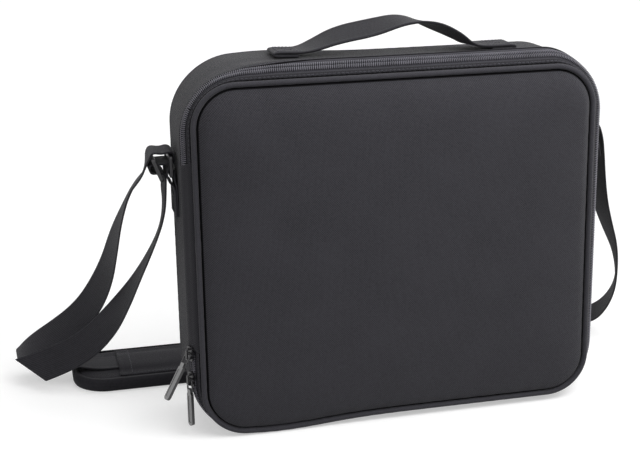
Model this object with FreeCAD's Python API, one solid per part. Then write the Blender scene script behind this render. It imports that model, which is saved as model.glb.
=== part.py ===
"""Soft carrying case with a zipped front lid, a web carry handle and a padded shoulder strap.

Millimetres. The origin is on the floor under the middle of the case. +X is to the right of a
person facing the front, the front looks along -Y and +Z is up. The case stands on its bottom
gusset. Its front is a shallow padded lid that opens like a book about the left edge, once the
zipper round the other three sides is undone.
"""
import FreeCAD, Part
import math
import os

Vector = FreeCAD.Vector

# Case outline and depth
PANEL_W = 290.0          # front panel, seam to seam
PANEL_H = 250.0
PANEL_R = 36.0           # corner radius at the front seam
CASE_DEPTH = 70.0        # front seam plane to back seam plane
FLARE = 10.0             # how far the gusset swells out past the front seam
FLARE_RUN = 14.0         # depth behind the front seam over which it swells
RIGHT_SWELL = 4.0        # the right side swells this much more, over the same depth
FRONT_CROWN = 4.0        # bulge of the padded front panel
BACK_CROWN = 2.0
CROWN_RUN = 60.0         # distance from the seam at which a panel reaches its full bulge
CROWN_STEPS = (0.0, 0.1, 0.3, 0.6, 1.0)   # shares of that distance where the bulge is shaped
CROWN_MIN_R = 5.0        # least corner radius of the inner crown outlines

# Cloth, foam and tape
CLOTH_T = 1.2            # outer nylon with its coating
STRIP_T = 1.4            # folded gusset strip beside the zipper
FOAM_T = 4.0
LINING_T = 0.8
SEAM_GAP = 0.1           # air between sewn layers
MOUTH_DEPTH = 18.0       # front seam to the edge of the foam and lining in the case
BINDING_T = 1.2
BINDING_W = 3.6
PIPING_R = 2.0

# Zipper
LID_DEPTH = 9.0          # front seam to the zipper's centre line
CHAIN_OPENING = 6.0      # clear width between the two cloth edges
POST_GAP = 1.4           # between the two coils, for the slider's post
COIL_H = 2.0
TAPE_T = 0.8
TAPE_LAP = 2.0           # tape under the cloth edge
SPINE_TOP = 204.0        # the plain cloth spine on the left, between the zipper's two ends
SPINE_BOTTOM = 76.0
UPPER_CHAIN = 39.0       # the chain stays shut this far above and below the spine
LOWER_CHAIN = 49.0
PART_LINE = 0.5          # gap where the lid parts from the shut stretch

# Zipper sliders and pulls
SLIDER_L = 11.0
SLIDER_W = 8.0
SLIDER_PLATE = 1.1
SLIDER_ABOVE = 1.0       # underside of the outer plate over the cloth
SLIDER_BELOW = 3.3       # top of the inner plate under the cloth
SLIDER_LIP = 0.6
POST_W = 0.8
POST_L = 3.0
BRIDGE_H = 2.2           # clear height under the bridge
BRIDGE_T = 1.1
BRIDGE_W = 2.0
BRIDGE_L = 8.5
SLIDER_PITCH = 20.0      # upper slider above the lower one
LINK_D = 1.2             # wire of the pull's link
LINK_GAP = 0.4           # wire to the neck of the tab
LINK_L = 8.5
LINK_FIT = 0.15          # wire in the tab's eye
TAB_W = 5.2
TAB_L = 29.0
TAB_T = 2.4
TAB_NECK_W = 3.6         # narrow end of the tab, inside the link
TAB_NECK_L = 3.4
TAB_RIM = 1.0
TAB_RECESS = 0.4
UPPER_PULL_LEAN = 35.0   # degrees off the cloth, resting over the lower slider

# Carry handle, on the top gusset
HANDLE_W = 25.0
HANDLE_T = 2.0
HANDLE_X = 8.0           # middle of the handle
HANDLE_Y = 10.0
HANDLE_HALF = 89.0       # middle to sewn end
HANDLE_FOOT = 30.0       # sewn length at each end
HANDLE_RISE = 22.0       # from the sewn ends to the top of the arch
# Points of the arch: shares of the half span and of the rise, then degrees that it leans to the front
HANDLE_ARCH = [(-1.2, 0.0, 0.0), (-1.02, 0.16, 8.0), (-0.71, 0.53, 19.0), (-0.27, 0.74, 21.0),
               (0.15, 1.01, 8.0), (0.51, 0.76, -17.0), (0.81, 0.37, -15.0), (0.98, 0.04, -6.0),
               (1.14, 0.0, 0.0)]

# Strap hardware
WEB_W = 25.0
WEB_T = 1.4
WEB_Y = 12.5             # middle of the webbing at the anchors
TAB_WEB_T = 1.2          # webbing of the anchor tabs
RING_T = 2.6
RING_BAR = 3.5
RING_SLOT = 8.5
RING_SIDE = 3.5
RING_FIT = 1.0           # slot over web width
RING_GAP = 0.5           # ring to the webbing of its tab
RING_Z = 191.5           # underside of the ring
RING_OUT = 3.2           # ring's back face off the gusset
TAB_FOOT = 30.0          # anchor tab sewn below the ring
MOULD_R = 0.7            # rounding of the moulded ring and glide
GLIDE_T = 3.0
GLIDE_BAR = 2.6
GLIDE_SLOT = 5.0
GLIDE_SIDE = 3.0
GLIDE_X = -169.2
GLIDE_Z = 197.5
GLIDE_LEAN = 20.0        # degrees, its top leans away from the case

# Shoulder pad, lying on the floor behind the case
PAD_L = 270.0
PAD_W = 68.0
PAD_T = 10.0
PAD_LEFT = -236.0
PAD_Y = 104.0
PAD_CORNER = 28.0
PAD_DRAW = 2.5           # how far the sides draw in under the top and bottom
SLEEVE_W = 54.0
SLEEVE_T = 0.9
SLEEVE_MARGIN = 37.0     # pad left bare at each end of the sleeve
RUN_GAP = 0.4            # webbing to pad and to sleeve
PAD_BINDING_T = 1.0
PAD_BINDING_W = 7.0
PAD_BINDING_GAP = 0.1

# Worked-out places
Y_FRONT = -CASE_DEPTH / 2.0
Y_BACK = CASE_DEPTH / 2.0
SIDE_X = PANEL_W / 2.0 + FLARE
TOP_Z = PANEL_H + 2.0 * FLARE
CORNER_X = PANEL_W / 2.0 - PANEL_R
CORNER_LOW_Z = FLARE + PANEL_R
STRIP_END = LID_DEPTH - CHAIN_OPENING / 2.0
GUSSET_START = LID_DEPTH + CHAIN_OPENING / 2.0
COIL_W = (CHAIN_OPENING - POST_GAP) / 2.0 - SEAM_GAP
PIPING_DEPTH = 0.2 * PIPING_R
STRIP_START = PIPING_DEPTH + PIPING_R + SEAM_GAP
SPINE_START = STRIP_START + 0.3
GUSSET_END = CASE_DEPTH - PIPING_DEPTH - PIPING_R - SEAM_GAP
BACK_U = FLARE - 2.0 * PIPING_R - SEAM_GAP
TAPE_TOP = -(STRIP_T + SEAM_GAP)
CLOSED_TOP = SPINE_TOP + UPPER_CHAIN
CLOSED_BOTTOM = SPINE_BOTTOM - LOWER_CHAIN

# Points of the webbing, chosen by hand: place, then the direction of its width
ACROSS = (0.0, 1.0, 0.0)
STRAP_RIGHT = [
    ((110.0, 104.0, 11.1), ACROSS), ((140.0, 104.0, 11.1), ACROSS),
    ((172.0, 103.0, 11.0), ACROSS), ((199.0, 99.0, 11.8), (0.25, 0.95, 0.1)),
    ((217.0, 90.0, 18.0), (0.45, 0.8, 0.35)), ((222.5, 76.0, 36.0), (0.5, 0.68, 0.5)),
    ((220.5, 61.0, 58.0), (0.42, 0.72, 0.52)), ((214.0, 51.0, 79.0), (0.2, 0.82, 0.5)),
    ((203.0, 40.0, 103.0), (-0.1, 0.9, 0.4)), ((190.5, 29.0, 126.0), (-0.22, 0.9, 0.35)),
    ((181.0, 20.0, 149.0), (-0.2, 0.92, 0.3)), ((176.0, 14.0, 171.0), (-0.1, 0.97, 0.2)),
    ((174.6, 12.5, 187.0), ACROSS), ((173.2, 12.5, 197.5), ACROSS),
    ((169.6, 12.5, 208.6), ACROSS), ((163.6, 12.5, 211.4), ACROSS),
    ((160.1, 12.5, 207.2), ACROSS), ((160.8, 12.5, 200.8), ACROSS),
    ((166.8, 12.5, 201.6), ACROSS), ((170.4, 12.5, 193.6), ACROSS),
    ((171.6, 12.5, 183.6), ACROSS),
]
STRAP_RUN = [
    ((-196.0, 104.0, 11.1), ACROSS), ((110.0, 104.0, 11.1), ACROSS),
]
STRAP_LEFT = [
    ((-196.0, 104.0, 11.1), ACROSS), ((-214.0, 104.0, 11.1), ACROSS),
    ((-234.0, 108.0, 14.5), ACROSS), ((-256.0, 113.0, 16.5), ACROSS),
    ((-280.0, 117.0, 17.5), ACROSS), ((-281.0, 117.0, 27.0), ACROSS),
    ((-263.0, 114.0, 31.5), (0.05, 0.83, 0.55)), ((-245.8, 107.0, 41.0), (-0.13, 0.72, 0.68)),
    ((-228.6, 98.0, 55.5), (-0.3, 0.66, 0.69)), ((-216.1, 88.0, 73.0), (-0.38, 0.67, 0.64)),
    ((-204.9, 71.0, 102.0), (-0.27, 0.76, 0.59)), ((-199.6, 52.0, 131.0), (-0.08, 0.82, 0.56)),
    ((-193.4, 34.5, 157.0), (0.13, 0.88, 0.46)), ((-186.4, 21.5, 179.0), (0.1, 0.98, 0.15)),
    ((-178.0, 12.5, 193.0), ACROSS), ((-176.0, 12.5, 201.0), ACROSS),
]
STRAP_LOOP = [
    ((-176.0, 12.5, 201.0), ACROSS), ((-174.5, 12.5, 207.0), ACROSS),
    ((-172.6, 12.5, 214.6), ACROSS), ((-165.2, 12.5, 212.4), ACROSS),
    ((-159.8, 12.5, 212.0), ACROSS), ((-156.1, 12.5, 207.6), ACROSS),
    ((-157.0, 12.5, 200.9), ACROSS), ((-162.5, 12.5, 201.2), ACROSS),
    ((-167.0, 12.5, 201.0), ACROSS), ((-174.8, 12.5, 201.2), ACROSS),
    ((-174.4, 12.5, 194.5), ACROSS), ((-168.6, 12.5, 194.5), ACROSS),
    ((-163.3, 12.5, 193.8), ACROSS), ((-163.9, 12.5, 184.0), ACROSS),
]
STRAP_TAIL = [
    ((-163.9, 12.5, 184.0), ACROSS), ((-164.39, 12.5, 176.0), ACROSS),
    ((-164.6, 16.5, 165.0), (0.1, 0.96, 0.28)), ((-166.2, 26.0, 149.0), (0.23, 0.91, 0.33)),
    ((-170.6, 35.0, 132.0), (0.27, 0.92, 0.27)), ((-180.2, 43.0, 110.0), (0.2, 0.93, 0.32)),
    ((-190.2, 53.0, 88.0), (0.0, 0.9, 0.42)), ((-205.4, 65.0, 62.0), (-0.28, 0.76, 0.58)),
    ((-223.6, 74.0, 41.0), (-0.35, 0.61, 0.71)), ((-244.5, 81.0, 28.0), (-0.26, 0.53, 0.81)),
    ((-265.5, 87.0, 18.8), (-0.22, 0.49, 0.84)),
]
CURVE_STEPS = 3          # stations on each bend of the webbing


def flare(depth):
    """Swell of the gusset past the front seam, at a depth behind it."""
    if depth >= FLARE_RUN:
        return FLARE
    return FLARE * (1.0 - (1.0 - depth / FLARE_RUN) ** 2)


def right_swell(y):
    """How much further the right side swells, at one y."""
    return RIGHT_SWELL * min((y - Y_FRONT) / FLARE_RUN, 1.0)


def rounded_wire(left, right, low, high, radius, y):
    """Upright rounded rectangle in the plane of one y."""
    r = radius
    s = r * (1.0 - math.sqrt(0.5))
    p = lambda x, z: Vector(x, y, z)
    line, arc = Part.LineSegment, Part.Arc
    return Part.Wire([
        line(p(left + r, low), p(right - r, low)).toShape(),
        arc(p(right - r, low), p(right - s, low + s), p(right, low + r)).toShape(),
        line(p(right, low + r), p(right, high - r)).toShape(),
        arc(p(right, high - r), p(right - s, high - s), p(right - r, high)).toShape(),
        line(p(right - r, high), p(left + r, high)).toShape(),
        arc(p(left + r, high), p(left + s, high - s), p(left, high - r)).toShape(),
        line(p(left, high - r), p(left, low + r)).toShape(),
        arc(p(left, low + r), p(left + s, low + s), p(left + r, low)).toShape(),
    ])


def outline(u, y):
    """Case outline grown by u from the front seam (shrunk where u is negative)."""
    radius = max(PANEL_R + u, CROWN_MIN_R)
    half = PANEL_W / 2.0 + u
    return rounded_wire(-half, half + right_swell(y), FLARE - u, FLARE + PANEL_H + u, radius, y)


def ruled(wires):
    return Part.makeLoft(wires, True, True)


def plate(u, y0, y1):
    """Flat sheet with the case outline, from y0 to y1."""
    return ruled([outline(u, y0), outline(u, y1)])


def frame_ring(u_out, u_in, y0, y1):
    """Flat ring between two case outlines."""
    over = 1.0
    return plate(u_out, y0, y1).cut(plate(u_in, y0 - over, y1 + over))


def skin_point(depth, offset):
    """Depth and outline of a point at a true distance outside the gusset's outer face."""
    step = 0.01
    slope = (flare(depth + step) - flare(depth - step)) / (2.0 * step)
    length = math.hypot(1.0, slope)
    return depth - offset * slope / length, flare(depth) + offset / length


def between(a, b):
    """Face between matching edges of two outlines, flat where both are straight."""
    if isinstance(a.Curve, Part.Line) and isinstance(b.Curve, Part.Line):
        corners = [a.Vertexes[0].Point, a.Vertexes[1].Point, b.Vertexes[1].Point, b.Vertexes[0].Point]
        return Part.Face(Part.makePolygon(corners + corners[:1]))
    return Part.makeRuledSurface(a, b)


def band(depths, top, bottom):
    """Ring of cloth that follows the gusset between two offsets from its outer face."""
    section = [skin_point(d, top) for d in depths]
    section += [skin_point(d, bottom) for d in reversed(depths)]
    wires = [outline(u, Y_FRONT + d) for d, u in section]
    faces = []
    for this, following in zip(wires, wires[1:] + wires[:1]):
        faces += [between(a, b) for a, b in zip(this.Edges, following.Edges)]
    shell = Part.makeShell(faces)
    shell.sewShape()
    solid = Part.makeSolid(shell)
    if solid.Volume < 0.0:
        solid.reverse()
    return solid


def left_slab(z0, z1, depth0=-50.0, depth1=50.0):
    """Block that takes in the left gusset between two heights and two depths."""
    half = CORNER_X + 3.0 * FLARE
    size = half + SIDE_X
    return Part.makeBox(size, depth1 - depth0, z1 - z0, Vector(-SIDE_X - half, Y_FRONT + depth0, z0))


def crown_stack(u_edge, y_edge, crown, direction):
    """Outlines of a padded panel from its seam to the flat of its bulge."""
    wires = []
    for share in CROWN_STEPS:
        rise = crown * (1.0 - (1.0 - share) ** 2)
        wires.append(outline(u_edge - share * CROWN_RUN, y_edge + direction * rise))
    return wires


def crowned(u_edge, y_edge, y_flat, crown, direction):
    """Solid from a flat inner face at y_flat to a crowned outer face that starts at y_edge."""
    return ruled([outline(u_edge, y_flat)] + crown_stack(u_edge, y_edge, crown, direction))


def piping(u, y):
    """Round cord sewn in the seam, all round one outline."""
    path = outline(u, y)
    start = path.Edges[0]
    point = start.valueAt(start.FirstParameter)
    circle = Part.Wire(Part.makeCircle(PIPING_R, point, Vector(1, 0, 0)))
    return path.makePipeShell([circle], True, False)


def blend_points(rows):
    """Smooth line through the hand-chosen points: place, direction and width at each station.

    Each inner point pulls one bend, from the middle of the run before it to the middle of the
    run after it, so the line is a quadratic B-spline with its ends held.
    """
    points = [Vector(*place) for place, _ in rows]
    widths = [Vector(*width) for _, width in rows]
    if len(points) == 2:
        direction = points[1] - points[0]
        return [(points[0], direction, widths[0]), (points[1], direction, widths[1])]
    stations = []
    last = len(points) - 1
    for i in range(1, last):
        ends = []
        for values in (points, widths):
            a = values[0] if i == 1 else (values[i - 1] + values[i]) * 0.5
            c = values[last] if i == last - 1 else (values[i] + values[i + 1]) * 0.5
            ends.append((a, values[i], c))
        first_step = 0 if i == 1 else 1
        for step in range(first_step, CURVE_STEPS + 1):
            t = step / CURVE_STEPS
            place, width = [
                a * (1 - t) ** 2 + b * (2 * t * (1 - t)) + c * t ** 2 for a, b, c in ends]
            a, b, c = ends[0]
            direction = (b - a) * (1 - t) + (c - b) * t
            stations.append((place, direction, width))
    return stations


def web(rows, width, thickness):
    """Flat webbing along hand-chosen points."""
    wires = []
    for place, direction, across in blend_points(rows):
        along = Vector(direction).normalize()
        side = (across - along * across.dot(along)).normalize()
        face = along.cross(side)
        a = side * (width / 2.0)
        b = face * (thickness / 2.0)
        corners = [place - a - b, place + a - b, place + a + b, place - a + b]
        wires.append(Part.makePolygon(corners + corners[:1]))
    return ruled(wires)


def on_the_right(shape):
    """Mirror image of a left side piece, on the right gusset."""
    moved = shape.mirror(Vector(0, 0, 0), Vector(1, 0, 0))
    moved.translate(Vector(RIGHT_SWELL, 0, 0))
    return moved


# Lid
def front_panel():
    outer = crowned(0.0, Y_FRONT, Y_FRONT + CLOTH_T, FRONT_CROWN, -1.0)
    hollow = crowned(0.0, Y_FRONT, Y_FRONT + 2.0 * CLOTH_T, FRONT_CROWN, -1.0)
    hollow.translate(Vector(0, CLOTH_T, 0))
    return outer.cut(hollow)


def lid_foam():
    edge = BINDING_W + 2.0 * SEAM_GAP
    start = Y_FRONT + CLOTH_T + SEAM_GAP
    pad = crowned(0.0, start, start + FOAM_T, FRONT_CROWN, -1.0)
    return pad.common(plate(-edge, start - 2.0 * FRONT_CROWN, start + FOAM_T))


def lid_lining():
    start = Y_FRONT + CLOTH_T + FOAM_T + 2.0 * SEAM_GAP
    return plate(-BINDING_W - 2.0 * SEAM_GAP, start, start + LINING_T)


def lid_binding():
    start = Y_FRONT + CLOTH_T + SEAM_GAP
    end = Y_FRONT + CLOTH_T + FOAM_T + LINING_T + 2.0 * SEAM_GAP
    return frame_ring(-SEAM_GAP, -BINDING_W - SEAM_GAP, start, end)


def off_the_spine(ring):
    """Leave out the stretch on the left that stays with the case."""
    return ring.cut(left_slab(CLOSED_BOTTOM - PART_LINE, CLOSED_TOP + PART_LINE))


def upper_stretch(ring):
    """Short stretch above the spine that stays shut."""
    return ring.common(left_slab(SPINE_TOP, CLOSED_TOP))


def lower_stretch(ring):
    """Short stretch below the spine that stays shut, under the sliders."""
    return ring.common(left_slab(CLOSED_BOTTOM, SPINE_BOTTOM))


def lid_strip_band():
    return band([STRIP_START, STRIP_END - TAPE_LAP, STRIP_END], 0.0, -STRIP_T)


def lid_tape_band():
    middle = STRIP_END
    return band([STRIP_END - TAPE_LAP, middle, LID_DEPTH - POST_GAP / 2.0], TAPE_TOP, TAPE_TOP - TAPE_T)


def lid_coil_band():
    end = LID_DEPTH - POST_GAP / 2.0
    low = TAPE_TOP + SEAM_GAP
    return band([end - COIL_W, end], low + COIL_H, low)


# Case
def case_tape():
    ring = band([LID_DEPTH + POST_GAP / 2.0, GUSSET_START, GUSSET_START + TAPE_LAP],
                TAPE_TOP, TAPE_TOP - TAPE_T)
    return ring.cut(left_slab(SPINE_BOTTOM, SPINE_TOP))


def case_coil():
    start = LID_DEPTH + POST_GAP / 2.0
    low = TAPE_TOP + SEAM_GAP
    ring = band([start, start + COIL_W], low + COIL_H, low)
    return ring.cut(left_slab(SPINE_BOTTOM, SPINE_TOP))


def spine_panel():
    end = GUSSET_START - SEAM_GAP
    ring = band([SPINE_START, STRIP_END - TAPE_LAP, STRIP_END, LID_DEPTH, end], 0.0, -STRIP_T)
    spine = ring.common(left_slab(CLOSED_BOTTOM, CLOSED_TOP))
    for z0, z1 in ((CLOSED_BOTTOM - 1.0, SPINE_BOTTOM), (SPINE_TOP, CLOSED_TOP + 1.0)):
        spine = spine.cut(left_slab(z0, z1, STRIP_END, GUSSET_START + 1.0))
    return spine


def rear_gusset():
    middle = (GUSSET_START + FLARE_RUN) / 2.0
    return band([GUSSET_START, middle, FLARE_RUN, GUSSET_END], 0.0, -CLOTH_T)


def gusset_foam():
    out = FLARE - CLOTH_T - SEAM_GAP
    end = CASE_DEPTH - CLOTH_T - FOAM_T - 2.0 * SEAM_GAP
    return frame_ring(out, out - FOAM_T, Y_FRONT + MOUTH_DEPTH, Y_FRONT + end)


def lining_u():
    return FLARE - CLOTH_T - FOAM_T - 2.0 * SEAM_GAP


def lining_back():
    return Y_BACK - CLOTH_T - FOAM_T - 2.0 * SEAM_GAP


def case_lining():
    mouth = Y_FRONT + MOUTH_DEPTH
    tub = plate(lining_u(), mouth, lining_back())
    return tub.cut(plate(lining_u() - LINING_T, mouth - 1.0, lining_back() - LINING_T))


def case_binding():
    end = Y_FRONT + MOUTH_DEPTH - SEAM_GAP
    out = flare(MOUTH_DEPTH - BINDING_T) - CLOTH_T - 4.0 * SEAM_GAP
    return frame_ring(out, lining_u() - LINING_T, end - BINDING_T, end)


def back_panel():
    outer = crowned(BACK_U, Y_BACK, Y_BACK - CLOTH_T, BACK_CROWN, 1.0)
    hollow = crowned(BACK_U, Y_BACK, Y_BACK - 2.0 * CLOTH_T, BACK_CROWN, 1.0)
    hollow.translate(Vector(0, -CLOTH_T, 0))
    return outer.cut(hollow)


def back_foam():
    end = Y_BACK - CLOTH_T - SEAM_GAP
    return crowned(BACK_U, end, end - FOAM_T, BACK_CROWN, 1.0)


# Carry handle
def handle_web():
    rest = TOP_Z + SEAM_GAP
    low = rest + HANDLE_T / 2.0
    high = low + HANDLE_T + 2.0 * SEAM_GAP
    tuck = HANDLE_HALF - HANDLE_FOOT
    fold = 1.6
    foot = [(tuck, low), (HANDLE_HALF - 8.0, low), (HANDLE_HALF + fold, low),
            (HANDLE_HALF + fold, high), (HANDLE_HALF - 8.0, high)]
    rows = [((HANDLE_X - x, HANDLE_Y, z), ACROSS) for x, z in foot]
    for span, lift, degrees in HANDLE_ARCH:
        lean = math.radians(degrees)
        place = (HANDLE_X + span * tuck, HANDLE_Y, high + lift * HANDLE_RISE)
        rows.append((place, (0.0, math.cos(lean), math.sin(lean))))
    rows += [((HANDLE_X + x, HANDLE_Y, z), ACROSS) for x, z in reversed(foot)]
    return web(rows, HANDLE_W, HANDLE_T)


# Strap anchors
def ring_x(depth_out=0.0):
    """Middle of the ring's thickness, off the left gusset."""
    return -(SIDE_X + RING_OUT + RING_T / 2.0 + depth_out)


def rounded_block(width, height, thickness, radius, z=0.0):
    """Upright block, width along Y and height along Z, with rounded corners, round (0, 0, z)."""
    corner = Vector(-thickness / 2.0, -width / 2.0, z - height / 2.0)
    block = Part.makeBox(thickness, width, height, corner)
    corners = [e for e in block.Edges if abs(e.tangentAt(e.FirstParameter).x) > 0.99]
    return block.makeFillet(radius, corners)


def slotted(width, bars, slot, side, thickness):
    """Plate of crossbars with a slot between each pair, rounded at its corners and edges."""
    count = len(bars)
    height = sum(bars) + slot * (count - 1)
    shape = rounded_block(width + 2.0 * side, height, thickness, side * 0.6)
    z = -height / 2.0
    for bar in bars[:-1]:
        z += bar
        shape = shape.cut(rounded_block(width, slot, thickness * 2.0, MOULD_R, z + slot / 2.0))
        z += slot
    rims = [e for e in shape.Edges if abs(abs(e.CenterOfMass.x) - thickness / 2.0) < 1e-6]
    return shape.makeFillet(MOULD_R, rims)


def left_ring():
    ring = slotted(WEB_W + RING_FIT, (RING_BAR, RING_BAR), RING_SLOT, RING_SIDE, RING_T)
    height = 2.0 * RING_BAR + RING_SLOT
    ring.translate(Vector(ring_x(), WEB_Y, RING_Z + height / 2.0))
    return ring


def left_anchor_tab():
    """Doubled webbing sewn to the gusset, looped round the lower bar of the ring."""
    half_t = TAB_WEB_T / 2.0
    inner = -(SIDE_X + SEAM_GAP + half_t)
    outer = inner - TAB_WEB_T - SEAM_GAP
    behind = -(SIDE_X + RING_OUT - RING_GAP - half_t)
    front = ring_x(RING_T / 2.0 + RING_GAP + half_t)
    over = RING_Z + RING_BAR + RING_GAP + half_t
    foot = RING_Z - TAB_FOOT
    lift = 1.2
    rows = [(inner, foot), (inner, foot + 12.0), (inner, RING_Z - 7.0), (behind, RING_Z - 3.5),
            (behind + 0.3, over + lift), (front - 0.6, over + lift), (front, RING_Z - 3.5),
            (outer, RING_Z - 8.0), (outer, foot + 12.0), (outer, foot)]
    return web([((x, WEB_Y, z), ACROSS) for x, z in rows], WEB_W, TAB_WEB_T)


def tri_glide():
    glide = slotted(WEB_W + RING_FIT, (GLIDE_BAR,) * 3, GLIDE_SLOT, GLIDE_SIDE, GLIDE_T)
    glide.rotate(Vector(0, 0, 0), Vector(0, 1, 0), -GLIDE_LEAN)
    glide.translate(Vector(GLIDE_X, WEB_Y, GLIDE_Z))
    return glide


# Zipper sliders, built flat: X across the track, Y along it (down), Z out of the cloth
def track_placement(z):
    """Where a slider sits on the left gusset, at a height on its straight stretch."""
    step = 0.01
    slope = (flare(LID_DEPTH + step) - flare(LID_DEPTH - step)) / (2.0 * step)
    across = Vector(-slope, 1.0, 0.0).normalize()
    down = Vector(0, 0, -1)
    out = across.cross(down)
    place = Vector(-(PANEL_W / 2.0 + flare(LID_DEPTH)), Y_FRONT + LID_DEPTH, z)
    matrix = FreeCAD.Matrix(
        across.x, down.x, out.x, place.x,
        across.y, down.y, out.y, place.y,
        across.z, down.z, out.z, place.z,
        0, 0, 0, 1)
    return FreeCAD.Placement(matrix)


def placed(shape, z):
    moved = shape.copy()
    moved.Placement = track_placement(z).multiply(moved.Placement)
    return moved


def slider_plate(z0):
    """One plate of a slider: wide at the shoulders, narrow at the tail, rounded."""
    half_l, half_w = SLIDER_L / 2.0, SLIDER_W / 2.0
    tail = half_w * 0.72
    points = [(-tail, half_l), (tail, half_l), (half_w, -half_l * 0.2),
              (half_w * 0.8, -half_l), (-half_w * 0.8, -half_l), (-half_w, -half_l * 0.2)]
    corners = [Vector(x, y, z0) for x, y in points]
    face = Part.Face(Part.makePolygon(corners + corners[:1]))
    solid = face.extrude(Vector(0, 0, SLIDER_PLATE))
    upright = [e for e in solid.Edges if abs(e.tangentAt(e.FirstParameter).z) > 0.99]
    return solid.makeFillet(0.8, upright)


def pivot_height():
    return SLIDER_ABOVE + SLIDER_PLATE + BRIDGE_H / 2.0


def slider():
    """Outer and inner plates joined by the post at the nose, side lips and the pull's bridge."""
    outer = slider_plate(SLIDER_ABOVE)
    inner = slider_plate(-SLIDER_BELOW - SLIDER_PLATE)
    post_h = SLIDER_ABOVE + SLIDER_BELOW + SLIDER_PLATE
    post = Part.makeBox(POST_W, POST_L, post_h,
                        Vector(-POST_W / 2.0, -SLIDER_L / 2.0 + 0.4, -SLIDER_BELOW - SLIDER_PLATE / 2.0))
    shape = outer.fuse([inner, post])
    for side in (-1.0, 1.0):
        x = side * (SLIDER_W / 2.0 - SLIDER_LIP / 2.0) - SLIDER_LIP / 2.0
        lip = Part.makeBox(SLIDER_LIP, SLIDER_L * 0.35, SLIDER_LIP + 0.2,
                           Vector(x, -SLIDER_L * 0.3, SLIDER_ABOVE - SLIDER_LIP))
        shape = shape.fuse(lip.common(slider_plate(SLIDER_ABOVE - SLIDER_PLATE + 0.2)))
    foot = SLIDER_ABOVE + SLIDER_PLATE - 0.3
    rise = BRIDGE_H + BRIDGE_T + 0.3
    block = Part.makeBox(BRIDGE_W, BRIDGE_L, rise, Vector(-BRIDGE_W / 2.0, -BRIDGE_L / 2.0, foot))
    ends = [e for e in block.Edges
            if abs(e.tangentAt(e.FirstParameter).x) > 0.99 and e.CenterOfMass.z > foot + rise / 2.0]
    block = block.makeFillet(BRIDGE_T * 1.4, ends)
    tunnel_l = BRIDGE_L - 2.0 * BRIDGE_T
    tunnel = Part.makeBox(BRIDGE_W * 2.0, tunnel_l, BRIDGE_H,
                          Vector(-BRIDGE_W, -tunnel_l / 2.0, SLIDER_ABOVE + SLIDER_PLATE))
    return shape.fuse(block.cut(tunnel)).removeSplitter()


def pull_link():
    """Wire link of the pull: its crossbar lies under the bridge, its other end in the tab's eye."""
    r = LINK_D / 2.0
    half = TAB_NECK_W / 2.0 + LINK_GAP + r
    z = pivot_height()
    corners = [(-half, 0.0), (half, 0.0), (half, LINK_L), (-half, LINK_L)]
    shape = None
    for (x0, y0), (x1, y1) in zip(corners, corners[1:] + corners[:1]):
        run = Vector(x1 - x0, y1 - y0, 0)
        rod = Part.makeCylinder(r, run.Length, Vector(x0, y0, z), run)
        joint = Part.makeSphere(r, Vector(x0, y0, z))
        shape = rod.fuse(joint) if shape is None else shape.fuse([rod, joint])
    return shape.removeSplitter()


def pull_tab():
    """Moulded tab: a narrow neck with the eye for the link, a rounded end and a sunk panel."""
    z = pivot_height()
    base = z - TAB_T / 2.0
    start = LINK_L - TAB_T / 2.0
    shoulder = start + TAB_NECK_L
    half = TAB_W / 2.0
    length = TAB_L - TAB_NECK_L - half
    neck = Part.makeBox(TAB_NECK_W, TAB_NECK_L + 1.0, TAB_T, Vector(-TAB_NECK_W / 2.0, start, base))
    body = Part.makeBox(TAB_W, length, TAB_T, Vector(-half, shoulder, base))
    tip = Part.makeCylinder(half, TAB_T, Vector(0, shoulder + length, base))
    shape = neck.fuse([body, tip])
    for face in (base + TAB_T - TAB_RECESS, base - TAB_RECESS):
        sunk = Part.makeBox(TAB_W - 2.0 * TAB_RIM, length - 2.0 * TAB_RIM, 2.0 * TAB_RECESS,
                            Vector(-half + TAB_RIM, shoulder + 2.0 * TAB_RIM, face))
        shape = shape.cut(sunk)
    eye = Part.makeCylinder(LINK_D / 2.0 + LINK_FIT, TAB_W, Vector(-half, LINK_L, z), Vector(1, 0, 0))
    return shape.cut(eye).removeSplitter()


def leaning(shape, degrees):
    moved = shape.copy()
    moved.rotate(Vector(0, 0, pivot_height()), Vector(1, 0, 0), degrees)
    return moved


# Shoulder pad
def floor_wire(length, width, radius, z):
    """Rounded rectangle lying flat, round the middle of the pad."""
    x0, x1 = PAD_LEFT + (PAD_L - length) / 2.0, PAD_LEFT + (PAD_L + length) / 2.0
    y0, y1 = PAD_Y - width / 2.0, PAD_Y + width / 2.0
    r = radius
    s = r * (1.0 - math.sqrt(0.5))
    p = lambda x, y: Vector(x, y, z)
    line, arc = Part.LineSegment, Part.Arc
    return Part.Wire([
        line(p(x0 + r, y0), p(x1 - r, y0)).toShape(),
        arc(p(x1 - r, y0), p(x1 - s, y0 + s), p(x1, y0 + r)).toShape(),
        line(p(x1, y0 + r), p(x1, y1 - r)).toShape(),
        arc(p(x1, y1 - r), p(x1 - s, y1 - s), p(x1 - r, y1)).toShape(),
        line(p(x1 - r, y1), p(x0 + r, y1)).toShape(),
        arc(p(x0 + r, y1), p(x0 + s, y1 - s), p(x0, y1 - r)).toShape(),
        line(p(x0, y1 - r), p(x0, y0 + r)).toShape(),
        arc(p(x0, y0 + r), p(x0 + s, y0 + s), p(x0 + r, y0)).toShape(),
    ])


def pad_outline(inset, z):
    return floor_wire(PAD_L - 2.0 * inset, PAD_W - 2.0 * inset, PAD_CORNER - inset, z)


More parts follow.
